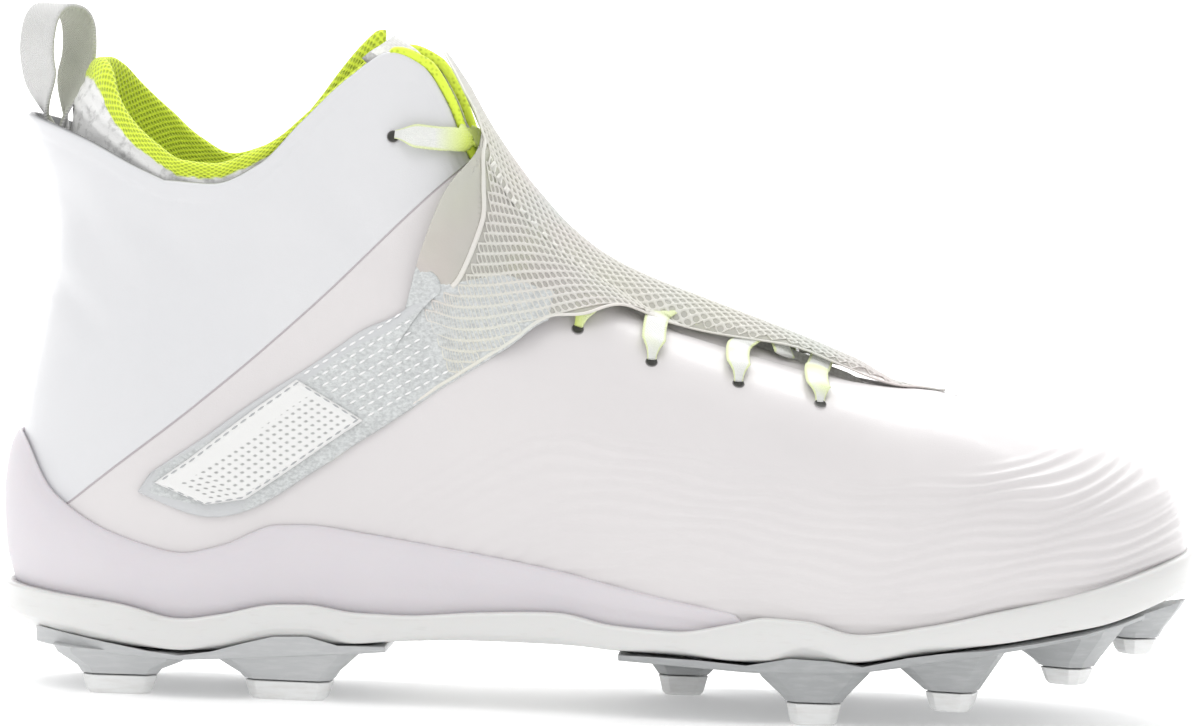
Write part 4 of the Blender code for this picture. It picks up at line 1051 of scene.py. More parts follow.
def tongue_grid(rows_along=70, rows_across=41):
    """Face and back of the tongue; x moves along it and q across, edges pinched together."""
    stations = np.interp(np.linspace(0, 1, rows_along), np.linspace(0, 1, len(TONGUE_X)),
                         TONGUE_X)[:, None]
    q = np.linspace(-1.05, 1.05, rows_across)[None, :]
    near = 1 - ease(0.4, 1.0, 1 - np.abs(q))
    depth = TONGUE_UNDER * np.clip(near, 0, 1)
    quilt = 0.45 * np.sin(np.pi * stations / 11.0) ** 2 * (1 - ease(0.55, 0.85, np.abs(q)))
    face = over(stations, q, -depth - 0.25 + 0.5 * quilt)
    back = over(stations, q, -depth - TONGUE_THICK + 0.3)
    for grid in (face, back):
        grid[:8, :, 2] -= 3.0 * (1 - np.linspace(0, 1, 8))[:, None] ** 1.5
    return [np.concatenate([grid] + [grid[-1:] + TONGUE_TOP * f for f in (0.35, 0.7, 0.95)])
            for grid in (face, back)]


def two_faced(face, back, name, material, nodes=(), fields=()):
    """Closes a face grid and a back grid with a rounded edge all round."""
    n, m = face.shape[:2]
    rings = np.concatenate([face, back[:, ::-1]], 1)
    faces = [strip_quads(n, 2 * m)]
    a = np.arange(n - 1)
    faces.append(np.stack([a * 2 * m + 2 * m - 1, (a + 1) * 2 * m + 2 * m - 1,
                           (a + 1) * 2 * m, a * 2 * m], 1))
    for row, order in ((0, 1), (n - 1, -1)):
        c = np.arange(m - 1)
        base = row * 2 * m
        quad = np.stack([base + c, base + c + 1, base + 2 * m - 2 - c, base + 2 * m - 1 - c], 1)
        faces.append(quad[:, ::order])
    return facing_out(make_piece(name, rings, np.concatenate(faces), material, nodes,
                                 fields))


tongue_face, tongue_back = tongue_grid()
tongue_cloth = cloth_finish("pale_knit", (0.72, 0.72, 0.70), (0.55, 0.55, 0.53), 1.1)
tongue = two_faced(tongue_face, tongue_back, "padded_tongue", tongue_cloth,
                   ("tongue",))

# %% Facing strips and the bright edge beside the tongue
FACING_X, FACING_REACH, FACING_THICK = (120, 243), 0.62, 0.7


def facing_grid(side):
    """Thin stretch strip that carries the vamp on under the net, from the throat's edge in."""
    x = np.linspace(*FACING_X, 110)[:, None]
    share = np.linspace(0, 1, 16)[None, :]
    q = side * (1.0 - FACING_REACH * share)
    drop = 0.35 + 1.3 * share ** 1.5
    return over(x, q, -drop), over(x, q, -drop - FACING_THICK)


def edge_piping(side):
    """Soft round edge of the lining, just inside the throat's edge near the top."""
    x = np.linspace(96.5, 121.0, 70)
    edge = body_point(side, x, np.ones_like(x))
    slip = np.stack([1.15 + 0 * x, -side * 1.3 * np.ones_like(x), 0.9 + 0 * x], 1)
    middle = edge + slip
    up = np.stack([0.6 + 0 * x, 0 * x, 0.8 + 0 * x], 1)
    return round_band(middle, up, 2.7, 2.7)


neon_mesh, tree, shader = finish("neon_edge", (0.74, 0.90, 0.06), 0.8, Sheen_Weight=0.2)
dots = add(tree, "TexVoronoi", {"Vector": place(tree, (700, 700, 700)), "Scale": 1.0,
                                "Randomness": 0.3}).outputs["Distance"]
# painted shade: the centres of the bright mesh's small pits are coloured a darker green
colour_by(tree, shader, two_colours(tree, ramp(tree, dots, 0.4, 0.1), (0.76, 0.93, 0.07),
                                    (0.45, 0.57, 0.03)))
bumps(tree, shader, (dots, 0.3, 0.6))
vamp_strip = upper.data.materials[0]
for side, word in ((OUTER, "outer"), (INNER, "inner")):
    strip_face, strip_back = facing_grid(side)
    strip = two_faced(strip_face, strip_back, "throat_facing_" + word, vamp_strip)
tubes_piece("lining_edge", [edge_piping(OUTER), edge_piping(INNER)], neon_mesh)

# %% Cuff
# top edge of the cuff on each side, x and z
CUFF_RIM = {
    OUTER: ((10, 160.2), (16, 160.2), (20, 158.6), (26, 151.2), (33, 143.8), (40, 138.8),
            (46, 135.4), (54, 134.8), (62, 137.4), (70, 141.8), (76, 147.2), (82, 153.0),
            (88, 158.6), (92, 162.0), (94, 163.0)),
    INNER: ((10, 160.2), (16, 160.2), (20, 158.8), (28, 153.4), (38, 146.2), (46, 139.8),
            (54, 136.0), (62, 138.2), (70, 143.4), (76, 150.4), (82, 158.8), (88, 166.0),
            (92, 169.2), (94, 169.0)),
}
NEON_BAND = ((14, 54, 92), (5.4, 3.8, 2.8))    # depth of the bright mesh outside the rim, x and mm
CUFF_BACK = ((104, 15.4), (118, 17.6), (132, 16.4), (140, 14.8), (147, 15.4), (154, 17.6),
             (162, 20.6))
CUFF_LOW, CUFF_THICK, CUFF_FRONT = 108.0, 3.4, 93.5
CUFF_ROOM, CUFF_LEAN = 0.3, 0.06           # more room in the shell, and lean in over it a mm
CUFF_RIM_X = 14.0                          # back end of the cuff's top edge
ROLL_START = 0.955                         # share of the height where the edge starts to roll


def cuff_point(side, kind, value, z, depth):
    """Point of the cuff at height z; depth is measured inwards from its outer face."""
    inside = WALL + GAP + CUFF_ROOM + depth
    if kind == "body":
        top = body_point(OUTER, value, 1.0)[..., 2]
        t = place_q(value, np.minimum(z, top - 0.3)) + 2
        wide = np.abs(body_point(side, value, t)[..., 1])
        y = wide - inside - CUFF_LEAN * np.maximum(0.0, z - top)
        return np.stack(np.broadcast_arrays(value, side * y, z), -1)
    top = along(COLLAR_BACK, HEEL_X) - 0.5
    t = place_q(HEEL_X, np.minimum(z, top)) + 2
    half = (np.abs(body_point(side, HEEL_X, t)[..., 1]) - inside
            - CUFF_LEAN * np.maximum(0.0, z - top))
    back = along(CUFF_BACK, z) + depth
    return np.stack(np.broadcast_arrays(HEEL_X - (HEEL_X - back) * np.sin(value),
                                        side * half * np.cos(value), z), -1)


def cuff_side(side, rows):
    """Half the cuff, from its front edge to the middle of the back."""
    shares, depths = rows
    body_x = np.linspace(CUFF_FRONT, HEEL_X, 36, endpoint=False)[:, None]
    angles = np.linspace(0, np.pi / 2, 40)[:, None]
    rim_body = along(CUFF_RIM[side], body_x)
    rim_heel = along(CUFF_RIM[side], HEEL_X - (HEEL_X - CUFF_RIM_X) * np.sin(angles))
    parts = []
    for kind, value, rim in (("body", body_x, rim_body), ("heel", angles, rim_heel)):
        parts.append(cuff_point(side, kind, value, CUFF_LOW + (rim - CUFF_LOW) * shares, depths))
    return np.concatenate(parts)


def cuff_rows():
    """Outer face, rolled edge and lining, as heights (1 is the rim) and depths."""
    turn = np.linspace(0, np.pi, 11)
    outer_z = np.concatenate([np.linspace(0, 0.70, 14), np.linspace(0.71, ROLL_START, 30)])
    roll_z = ROLL_START + (1 - ROLL_START) * np.sin(turn)
    roll_d = CUFF_THICK / 2 * (1 - np.cos(turn)) + 0.1
    inner_z = np.linspace(ROLL_START, 0.0, 30)
    inner_d = CUFF_THICK * (0.5 + 0.5 * ease(0.0, 0.5, inner_z)) + 0.5 * np.sin(
        np.pi * np.clip((inner_z - 0.4) / 0.6, 0, 1))
    shares = np.concatenate([outer_z, roll_z[1:-1], inner_z])[None, :]
    depths = np.concatenate([0 * outer_z, roll_d[1:-1], inner_d + 0.1])[None, :]
    return shares, depths


def cuff_mesh():
    """The cuff's grid, the share of lining at each point and its lengths as UV map."""
    rows = cuff_rows()
    one, other = cuff_side(OUTER, rows), cuff_side(INNER, rows)
    grid = np.concatenate([one, other[-2::-1]])
    count, k = grid.shape[:2]
    bump = (0.34 * np.sin(grid[..., 0] * 0.9 + grid[..., 2] * 0.5)
            * np.sin(grid[..., 2] * 1.1 - grid[..., 1] * 0.35)
            + 0.25 * np.sin(grid[..., 0] * 0.37 + 2.0) * np.sin(grid[..., 2] * 0.6)
            + 0.16 * np.sin(grid[..., 0] * 1.9 - grid[..., 2] * 1.3 + 1.0))
    outer_face = 1 - ease(40, 45, np.arange(k))[None, :]
    normal = grid_normals(grid)
    centre = grid.mean(axis=(0, 1))
    if (normal[:, 20] * (grid[:, 20] - centre)).sum() < 0:
        normal = -normal
    grid = grid + normal * (bump * outer_face * ease(0, 4, np.arange(k))[None, :]
                            * 0.8)[..., None]
    under_rim = grid[..., 2].max(1, keepdims=True) - grid[..., 2]
    band = np.interp(grid[..., 0], *NEON_BAND) + 0.3 * np.sin(grid[..., 0] * 1.7) * np.sin(
        grid[..., 0] * 0.6)
    lining = np.maximum(1 - ease(-0.25, 0.25, under_rim - band),
                        ease(44.0, 45.0, np.arange(k))[None, :])
    u, v = reach_along(grid[:, 30])[:, None], reach_along(grid[count // 2])[None, :]
    return grid, lining, np.stack(np.broadcast_arrays(u, v), -1)


cuff_grid, cuff_lining, cuff_uv = cuff_mesh()


def cuff_finish():
    """Bumpy off-white knit outside, bright yellow-green spacer mesh with small pits inside, the
    pits painted darker as their shade.
    """
    material, tree, shader = finish("cuff_knit", (0.7, 0.7, 0.68), 0.85, Sheen_Weight=0.2,
                                    Sheen_Roughness=0.5)
    sheet_mm = place(tree, (1, 1, 1), (0, 0, np.radians(45)), kind="UV")
    pits = add(tree, "TexVoronoi", {"Vector": sheet_mm, "Scale": 0.72, "Randomness": 0.05},
               feature="F1").outputs["Distance"]
    pit = ramp(tree, pits, 0.42, 0.16)
    cloud = grain(tree, place(tree), 300.0, 5.0, 0.62)
    threads = grain(tree, place(tree, (1, 1, 2.4)), 1300.0, 2.0)
    knit = two_colours(tree, ramp(tree, cloud, 0.50, 0.64), (0.86, 0.86, 0.85),
                       (0.56, 0.56, 0.55))
    # painted shade: the spacer mesh's pits are coloured a darker green as the shade in them
    neon = two_colours(tree, maths(tree, "MULTIPLY", pit, 0.75), (0.80, 0.97, 0.07),
                       (0.42, 0.55, 0.03))
    colour_by(tree, shader, two_colours(tree, field(tree, "lining"), knit, neon))
    inside = maths(tree, "MULTIPLY", pit, field(tree, "lining"))
    bumps(tree, shader, (cloud, 0.5, 0.5), (threads, 0.12, 0.6), (inside, -0.5, 0.8))
    return material


cuff_lines, cuff_points = cuff_grid.shape[:2]
first = np.arange(cuff_lines - 1) * cuff_points
closing = np.stack([first, first + cuff_points - 1, first + 2 * cuff_points - 1,
                    first + cuff_points], 1)
cuff = make_piece("knitted_cuff", cuff_grid,
                  np.concatenate([strip_quads(cuff_lines, cuff_points), closing]),
                  cuff_finish(), ("collar_sleeve",), {"lining": cuff_lining}, cuff_uv)


def cap_ends(work):
    """Fills the two open end loops of the cuff's tube with one face each."""
    work.verts.ensure_lookup_table()
    for start in (0, (cuff_lines - 1) * cuff_points):
        work.faces.new([work.verts[start + i] for i in range(cuff_points)])
    bmesh.ops.triangulate(work, faces=[f for f in work.faces if len(f.verts) > 4])
    bmesh.ops.recalc_face_normals(work, faces=work.faces)


rework(cuff.data, cap_ends)
print("tongue and cuff made")

# %% [markdown]
# ## Where the net and the strap lie
#
# The cover is one piece of cloth that changes from an open net over the laces to a dense silver
# strap low on the outer side. It is described by rows: each row gives the cloth's lower edge,
# the place where it crosses the throat's outer edge, and its upper edge. Spacing each row evenly
# on the shoe stretches the net where the cover is wide, as real net does.

# %% Rows of the cover
COVER = (
    # x, q or z of one edge, x where it crosses the throat (0 for none), x, q or z of the other
    (240, -.98, 0, 240, 0.98), (232, -1.02, 0, 232, 1.02), (221, -.98, 0, 222, 1.05),
    (210, -.86, 0, 211, 1.08), (201, -.80, 0, 201, 1.10), (190, -.88, 0, 190, 1.11),
    (179, -.98, 0, 179, 1.12), (169, -1.05, 0, 169, 1.13), (158, -1.10, 158, 158, 1.14),
    (149, 97.6, 149, 148, 1.15), (140, 97.2, 141, 139, 1.15), (132, 92.0, 134, 131, 1.14),
    (125, 87.6, 128.5, 125, 1.12), (118, 83.0, 124.5, 120, 1.00), (112, 79.0, 121.6, 112, .45),
    (107, 75.4, 119.6, 105.5, .05), (103, 72.6, 118.5, 108.5, -.45),
    (99.6, 70.2, 117.9, 114, -.86), (96, 67.8, 0, 119.4, 131.5), (91, 64.4, 0, 121.0, 120.0),
    (86, 60.8, 0, 116.0, 105.5), (80, 56.8, 0, 104.0, 99.5), (74, 52.6, 0, 91, 92.4),
    (67, 48.6, 0, 81, 85.0), (60, 46.6, 0, 70, 77.6), (53, 46.8, 0, 60, 70.2),
    (45, 49.4, 0, 50, 62.8), (38.5, 52.0, 0, 41.5, 56.8),
)
COVER_FOOT, LACE_THICK, LACE_LIFT, ON_SHELL = 1.44, 1.2, 0.9, 0.7
ACROSS = 33


def cover_lift(x, q):
    """Close to the shell at its foot and front edges, up over the laces, most at the top one."""
    s = ease(0, 1, (COVER_FOOT - np.abs(q)) / 0.14)
    edge_room = np.maximum(0.0, 1.0 - np.abs(np.abs(q) - 1.0) / 0.25)
    laces = LACE_LIFT + LACE_THICK + np.interp(x, (112, 126), (2.7, 1.6))
    laces = laces + edge_room * np.interp(x, (114, 126), (1.8, 0.3))
    laces = laces - 1.8 * ease(0.74, 1.0, np.abs(q)) * ease(150, 172, x)
    return ON_SHELL + (laces - ON_SHELL) * s * (1 - ease(214, 232, x))


def as_q(x, value):
    """A value over 3 is a height on the outer side and is turned into q."""
    return float(place_q(x, value)) if value > 3 else value


def cover_row(x0, v0, cross, x1, v1):
    """x and q at even distances on the shoe along one row."""
    q0, q1 = as_q(x0, v0), as_q(x1, v1)
    corners = [(x0, q0), (cross, -1.0), (x1, q1)] if cross else [(x0, q0), (x1, q1)]
    fine = np.linspace(0, len(corners) - 1, 91)
    xs = np.interp(fine, range(len(corners)), [c[0] for c in corners])
    qs = np.interp(fine, range(len(corners)), [c[1] for c in corners])
    reach = reach_along(over(xs, qs, cover_lift(xs, qs)))
    even = np.linspace(0, reach[-1], ACROSS)
    return np.stack([np.interp(even, reach, xs), np.interp(even, reach, qs)], 1)


COVER_GRID = np.stack([cover_row(*row) for row in COVER])
LAST_ROW = len(COVER) - 1


def cover_place(row, share):
    """x and q at a row number (cubic between rows) and a share across (0 lower edge, 1 upper)."""
    row, share = np.broadcast_arrays(np.asarray(row, float), np.asarray(share, float))
    column = share * (ACROSS - 1)
    i = np.clip(np.floor(row).astype(int), 0, LAST_ROW - 1)
    j = np.clip(np.floor(column).astype(int), 0, ACROSS - 2)
    f, g = (row - i)[..., None], (column - j)[..., None]
    weights = (-f / 2 + f ** 2 - f ** 3 / 2, 1 - 2.5 * f ** 2 + 1.5 * f ** 3,
               f / 2 + 2 * f ** 2 - 1.5 * f ** 3, -f ** 2 / 2 + f ** 3 / 2)
    total = 0.0
    for k, weight in zip((-1, 0, 1, 2), weights):
        a = np.clip(i + k, 0, LAST_ROW)
        total = total + weight * (COVER_GRID[a, j] * (1 - g) + COVER_GRID[a, j + 1] * g)
    return total


def cover_point(row, share, out=0.0):
    """Point of the cover's under face, moved out by out."""
    xq = cover_place(row, share)
    x, q = xq[..., 0], xq[..., 1]
    return over(x, q, cover_lift(x, q) + out)


print("the cover has", LAST_ROW + 1, "rows")

# %% [markdown]
# ## The net
#
# A net drawn on a picture would hide the laces, so this one has real holes: the cloth is cut
# into small scales, each scale is a frame round a rounded opening, and neighbours share their
# corners. The scales keep one size because they are laid out in real distances, along the
# instep and round the girth, and only then turned into x and q. The frames are lifted a little
# along the scales' borders, which gives them their bright ridges.
#
# The openings of the real net are veiled by threads too fine to model one by one. A thin
# half-clear cloth under the frames stands for them, so the laces show through it only softly.

# %% Distances along the instep and round the girth
MAP_X = np.linspace(92, 246, 155)
MAP_Q = np.linspace(-1.9, 1.6, 281)
map_points = over(MAP_X[:, None], MAP_Q[None, :], 2.0)
girth_steps = np.linalg.norm(np.diff(map_points, axis=1), axis=2)
GIRTH = np.concatenate([np.zeros((len(MAP_X), 1)), np.cumsum(girth_steps, 1)], 1)
GIRTH -= GIRTH[:, [int(np.abs(MAP_Q).argmin())]]
INSTEP_REACH = reach_along(map_points[:, int(np.abs(MAP_Q).argmin())])
GIRTH_STEP = 0.5
GIRTH_EVEN = np.arange(-80, 60 + GIRTH_STEP, GIRTH_STEP)
Q_BY_GIRTH = np.stack([np.interp(GIRTH_EVEN, row, MAP_Q) for row in GIRTH])


def from_reach(reach, girth):
    """x and q of a place given by its distance along the instep and round the girth."""
    x = np.interp(reach, INSTEP_REACH, MAP_X)
    i = np.clip(x - MAP_X[0], 0, len(MAP_X) - 1.001)
    j = np.clip((girth - GIRTH_EVEN[0]) / GIRTH_STEP, 0, len(GIRTH_EVEN) - 1.001)
    i0, j0 = i.astype(int), j.astype(int)
    f, g = i - i0, j - j0
    q = ((1 - f) * ((1 - g) * Q_BY_GIRTH[i0, j0] + g * Q_BY_GIRTH[i0, j0 + 1])
         + f * ((1 - g) * Q_BY_GIRTH[i0 + 1, j0] + g * Q_BY_GIRTH[i0 + 1, j0 + 1]))
    return x, q


def inside_outline(x, q, outline):
    """Whether each place lies inside a closed outline, by counting crossed sides."""
    crossed = np.zeros(x.shape, int)
    for (x0, q0), (x1, q1) in zip(outline, np.roll(outline, -1, 0)):
        hit = (q0 > q) != (q1 > q)
        at = x0 + (q - q0) * (x1 - x0) / (q1 - q0 if q1 != q0 else 1e-9)
        crossed += hit & (x < at)
    return crossed % 2 == 1


# %% Net
NET_LAST_ROW = 20.0
SCALE_LONG, SCALE_WIDE, RING_POINTS = 3.3, 2.7, 12
NET_THREAD, HEM_WIDTH = 0.3, 0.9           # thickness of the net's frames, width of its hem
SCALE_RINGS = (
    # size, roundness (0 a diamond, 1 an ellipse), height over the cloth
    (1.0, 0.0, 0.50), (0.84, 0.3, 0.32), (0.66, 0.85, 0.16),
)
net_rows = np.linspace(0, NET_LAST_ROW, 120)
NET_OUTLINE = np.concatenate([cover_place(net_rows, 0.004), cover_place(net_rows, 1.012)[::-1]])


def diamond_ring(size, roundness):
    """Corner-first outline of a diamond (roundness 0) up to an ellipse (1), RING_POINTS long."""
    turn = np.linspace(0, 2 * np.pi, RING_POINTS, endpoint=False)
    c, s = np.cos(turn), np.sin(turn)
    scale = size * ((1 - roundness) / (np.abs(c) + np.abs(s)) + roundness * 0.78)
    return c * scale, s * scale


def net_mesh():
    """Frames of all scales: ridge ring, shoulder ring and the ring round the opening."""
    rows = int(INSTEP_REACH[-1] / (SCALE_LONG / 2))
    a, b = np.meshgrid(np.arange(1, rows), np.arange(-58, 44), indexing="ij")
    keep = (a + b) % 2 == 0
    a, b = a[keep][:, None].astype(float), b[keep][:, None].astype(float)
    rings = []
    for size, roundness, lifted in SCALE_RINGS:
        c, s = diamond_ring(size, roundness)
        x, q = from_reach((a + c) * SCALE_LONG / 2, (b + s) * SCALE_WIDE / 2)
        rings.append((x, q, lifted))
    inside = inside_outline(rings[0][0], rings[0][1], NET_OUTLINE).all(1)
    points = np.stack([over(x[inside], q[inside], cover_lift(x[inside], q[inside]) + lifted)
                       for x, q, lifted in rings], 1)
    cells = len(points)
    index = np.arange(cells * 3 * RING_POINTS).reshape(cells, 3, RING_POINTS)
    nxt = np.roll(index, -1, 2)
    faces = np.stack([index[:, :-1], nxt[:, :-1], nxt[:, 1:], index[:, 1:]], -1).reshape(-1, 4)
    return points, faces


def net_finish(name, light):
    """Pale gray thread that turns warmer, greener or pinker from place to place, a painted
    stand-in for the net's faint rainbow sheen.
    """
    material, tree, shader = finish(name, light, 0.5, Sheen_Weight=0.15, Sheen_Roughness=0.4)
    spot = place(tree)
    # painted sheen: these noise tints stand for the net's faint rainbow sheen
    tint = two_colours(tree, ramp(tree, grain(tree, spot, 34.0, 1.0), 0.35, 0.65),
                       [c * f for c, f in zip(light, (0.95, 1.0, 0.98))],
                       [c * f for c, f in zip(light, (1.04, 0.97, 0.97))])
    colour_by(tree, shader, two_colours(tree, ramp(tree, grain(tree, spot, 22.0), 0.4, 0.62),
                                        tint, [c * f for c, f in zip(light, (1.0, 1.0, 0.93))]))
    bumps(tree, shader, (grain(tree, spot, 1600.0), 0.08, 0.6))
    return material, shader


net_points, net_faces = net_mesh()
net_thread, _ = net_finish("gray_net", (0.73, 0.72, 0.70))
net = make_piece("open_net", net_points, net_faces, net_thread, ("cover_strap",))
rework(net.data, lambda work: weld(work, 2e-5))
wall = net.modifiers.new("thread", "SOLIDIFY")
wall.thickness, wall.offset = NET_THREAD * MM, -1.0
print(len(net_faces), "faces in the net before it gets its thickness")


def cover_band(rows, share, width):
    """Flat band on the cover along rows and shares."""
    middle = cover_point(rows, share, 0.2)
    return round_band(middle, cover_point(rows, share, 1.2) - middle, width, 0.6)


hem_rows = np.linspace(0.0, NET_LAST_ROW, 260)
hem = tubes_piece("net_hem", [cover_band(hem_rows, 0.012, HEM_WIDTH),
                              cover_band(hem_rows, 0.996, HEM_WIDTH + 0.4),
                              cover_band(np.full(60, 0.05), np.linspace(0.012, 0.988, 60),
                                         HEM_WIDTH + 0.7)],
                  net_thread, ("cover_strap",))

# %% Haze of fine threads in the net's openings
film_rows = np.linspace(0.03, NET_LAST_ROW, 170)[:, None]
film_shares = np.linspace(0.014, 0.986, 50)[None, :]
film_face = cover_point(film_rows, film_shares, 0.06)
film_cloth, film_shader = net_finish("net_haze", (0.71, 0.70, 0.67))
film_shader.inputs["Alpha"].default_value = 0.55
film = two_faced(film_face, cover_point(film_rows, film_shares, -0.1), "net_haze", film_cloth,
                 ("cover_strap",))

# %% [markdown]
# ## The strap, its stitches and the tab
#
# The lower end of the cover is dense silver cloth with a smooth border. Eight rows of white
# running stitches hold it, and a white tab with a grid of small pits is sewn on its end. The tab's
# upper band is left bare. Each stitch is a short spindle that sinks into the cloth at both ends.

# %% Strap
STRAP_START = 10.0
# where the silver cloth ends under the net: x and z on the outer side
SILVER_TOP = ((95, 128), (104, 114), (112, 106.5), (120, 108.5), (131, 110), (141, 105), (149, 94))


def strap_grid():
    """Rows from under the net to the rounded end; above SILVER_TOP the silver cloth stops."""
    rows = np.linspace(STRAP_START, LAST_ROW, 190)[:, None]
    try_at = np.linspace(0.02, 1, 160)[None, :]
    tried = cover_point(rows, try_at)
    over_top = tried[..., 2] > np.interp(tried[..., 0], *np.array(SILVER_TOP).T)
    reach = np.where(over_top.any(1), try_at[0][over_top.argmax(1)], 1.0)
    reach = running_mean(reach, 15)[:, None]
    share = np.linspace(0, 1, 71)[None, :]
    s = share * reach
    under_net = np.maximum(1 - ease(12.5, 17.0, rows),
                           ease(0.35, 0.8, share) * (1 - ease(18.6, 20.4, rows)))
    edge_soft = 0.35 * ease(0.0, 0.05, share) * ease(0.0, 0.05, 1 - share)
    weave = 0.05 * np.sin(rows * 21) * np.sin(s * 180)
    face = cover_point(rows, s, 0.5 - 0.62 * under_net + edge_soft + weave)
    back = cover_point(rows, s, 0.0 - 0.62 * under_net)
    return face, back, rows + 0 * share, s + 0 * rows


def strap_finish():
    """Flecked silver cloth with a smooth border."""
    material, tree, shader = finish("silver_strap", (0.60, 0.62, 0.62), 0.45, Metallic=0.0,
                                    Sheen_Weight=0.2, Sheen_Roughness=0.4)
    spot = place(tree)
    fleck = grain(tree, place(tree, (1, 1, 1.6)), 900.0, 4.0, 0.7)
    cloud = grain(tree, spot, 90.0, 2.0)
    cloth = two_colours(tree, ramp(tree, fleck, 0.38, 0.62), (0.46, 0.475, 0.475),
                        (0.67, 0.69, 0.685))
    cloth = two_colours(tree, ramp(tree, cloud, 0.3, 0.7, 0.0, 0.3), cloth, (0.62, 0.64, 0.65))
    border = field(tree, "border")
    colour_by(tree, shader, two_colours(tree, border, cloth, (0.58, 0.59, 0.60)))
    bumps(tree, shader, (fleck, 0.22, 0.7))
    return material


strap_face, strap_back, strap_rows, strap_shares = strap_grid()
border_share = np.maximum(np.maximum(
    ease(23.0, 23.6, strap_rows) * (1 - ease(0.10, 0.13, strap_shares)),
    ease(20.2, 20.8, strap_rows) * ease(0.885, 0.905, strap_shares)),
    ease(26.4, 26.7, strap_rows))
strap = two_faced(strap_face, strap_back, "silver_strap", strap_finish(),
                  ("cover_strap",),
                  fields={"border": np.concatenate([border_share, border_share[:, ::-1]], 1)})

# %% Tab
TAB = (((95.2, 71.6), (77.2, 81.6)), ((86, 65.2), (68, 74.8)), ((76, 57.9), (59, 67.6)),
       ((66, 50.9), (50.5, 60.6)), ((56, 49.3), (42.5, 54.6)))     # lower and upper edge, x and z
TAB_ALONG, TAB_ACROSS, PIT_PITCH = 230, 84, 1.9
STRAP_THICK = 0.9                          # the tab lies on the strap's face


def tab_grid():
    """The tab as two grids; pits on a square grid are pressed into its face."""
    rows = np.array(TAB, float)
    a = np.linspace(0, len(TAB) - 1, TAB_ALONG)
    low = np.stack([np.interp(a, range(len(TAB)), rows[:, 0, k]) for k in (0, 1)], 1)
    high = np.stack([np.interp(a, range(len(TAB)), rows[:, 1, k]) for k in (0, 1)], 1)
    share = np.linspace(0.02, 0.98, TAB_ACROSS)
    x = low[:, None, 0] + (high - low)[:, None, 0] * share[None, :]
    z = low[:, None, 1] + (high - low)[:, None, 1] * share[None, :]
    q = place_q(x, z)
    base = ON_SHELL + STRAP_THICK + 0.35
    flat = over(x, q, base)
    u = reach_along(flat[:, TAB_ACROSS // 2])[:, None] + 0 * x
    v = np.concatenate([np.zeros((TAB_ALONG, 1)),
                        np.cumsum(np.linalg.norm(np.diff(flat, axis=1), axis=2), 1)], 1)
    cell = (np.stack([u, v], -1) / PIT_PITCH) % 1.0 - 0.5
    from_pit = np.linalg.norm(cell, axis=-1) * PIT_PITCH
    length, width = u[-1, 0], v[:, -1:]
    pitted = (v < width * 0.72) & (v > 1.3) & (u > 1.4) & (u < length - 2.5)
    pit = (1 - ease(0.28, 0.5, from_pit)) * pitted
    rim = np.minimum(np.minimum(u, length - u), np.minimum(v, width - v))
    soft = 0.75 * np.sqrt(ease(0.0, 0.9, rim)) + 0.12 * ease(1.2, 1.7, rim)
    return over(x, q, base + soft - 0.22 * pit), over(x, q, base - 0.2), pit


def tab_finish():
    """Smooth white tab whose pits are painted dark gray as their shade."""
    material, tree, shader = finish("white_tab", (0.79, 0.79, 0.78), 0.38, Coat_Weight=0.1)
    # painted shade: the pits are coloured dark gray as the shade in them
    colour_by(tree, shader, two_colours(tree, maths(tree, "MULTIPLY", field(tree, "pit"), 0.85),
                                        (0.79, 0.79, 0.78), (0.36, 0.365, 0.36)))
    bumps(tree, shader, (grain(tree, place(tree), 1400.0), 0.06, 0.5))
    return material


tab_face, tab_back, tab_pits = tab_grid()
tab = two_faced(tab_face, tab_back, "pitted_tab", tab_finish(), ("strap_tab",),
                fields={"pit": np.concatenate([tab_pits, tab_pits * 0], 1)})

# %% Stitches
STITCH, STITCH_GAP, STRAP_SEAMS = 1.9, 0.8, 8


def stitches(name, lines, width, material):
    """One mesh of short spindles laid end to end along each line of points."""
    turn = np.linspace(0, 2 * np.pi, 6, endpoint=False)
    profile = np.array([0.25, 0.85, 1.0, 0.85, 0.25])
    outward = np.array([0.0, -1.0, 0.15])
    points, faces, start = [], [], 0
    for line in lines:
        total = reach_along(line)
        starts = np.arange(0.4, total[-1] - STITCH, STITCH + STITCH_GAP)
        at = starts[:, None] + np.linspace(0, STITCH, len(profile))[None, :]
        path = np.stack([np.interp(at, total, line[:, k]) for k in range(3)], -1)
        forward = unit(path[:, -1] - path[:, 0])
        side = unit(np.cross(forward, outward))
        rise = np.cross(side, forward)
        ring_ = (np.cos(turn)[None, None, :, None] * side[:, None, None]
                 + np.sin(turn)[None, None, :, None] * rise[:, None, None] * 0.7)
        spindle = path[:, :, None] + ring_ * (profile * width / 2)[None, :, None, None]
        count = len(starts)
        points.append(spindle.reshape(-1, 3))
        base = start + (np.arange(count) * 30)[:, None, None, None]
        a, r = np.arange(4)[None, :, None, None], np.arange(6)[None, None, :, None]
        quad = np.concatenate([base + a * 6 + r, base + a * 6 + (r + 1) % 6,
                               base + (a + 1) * 6 + (r + 1) % 6, base + (a + 1) * 6 + r], -1)
        faces += quad.reshape(-1, 4).tolist()
        for end in (0, 4):
            faces += (base[:, 0, 0, 0][:, None] + end * 6 + np.arange(6)).tolist()
        start += count * 30
    mesh = bpy.data.meshes.new(name)
    mesh.from_pydata(((np.concatenate(points) - ORIGIN) * MM).tolist(), [], faces)
    mesh.materials.append(material)
    mesh.shade_smooth()
    return facing_out(add_piece(name, mesh), 1e-7)


thread_white = finish("white_thread", (0.90, 0.90, 0.90), 0.6, Sheen_Weight=0.3)[0]
thread_gray = finish("gray_thread", (0.42, 0.43, 0.44), 0.7, Sheen_Weight=0.3)[0]


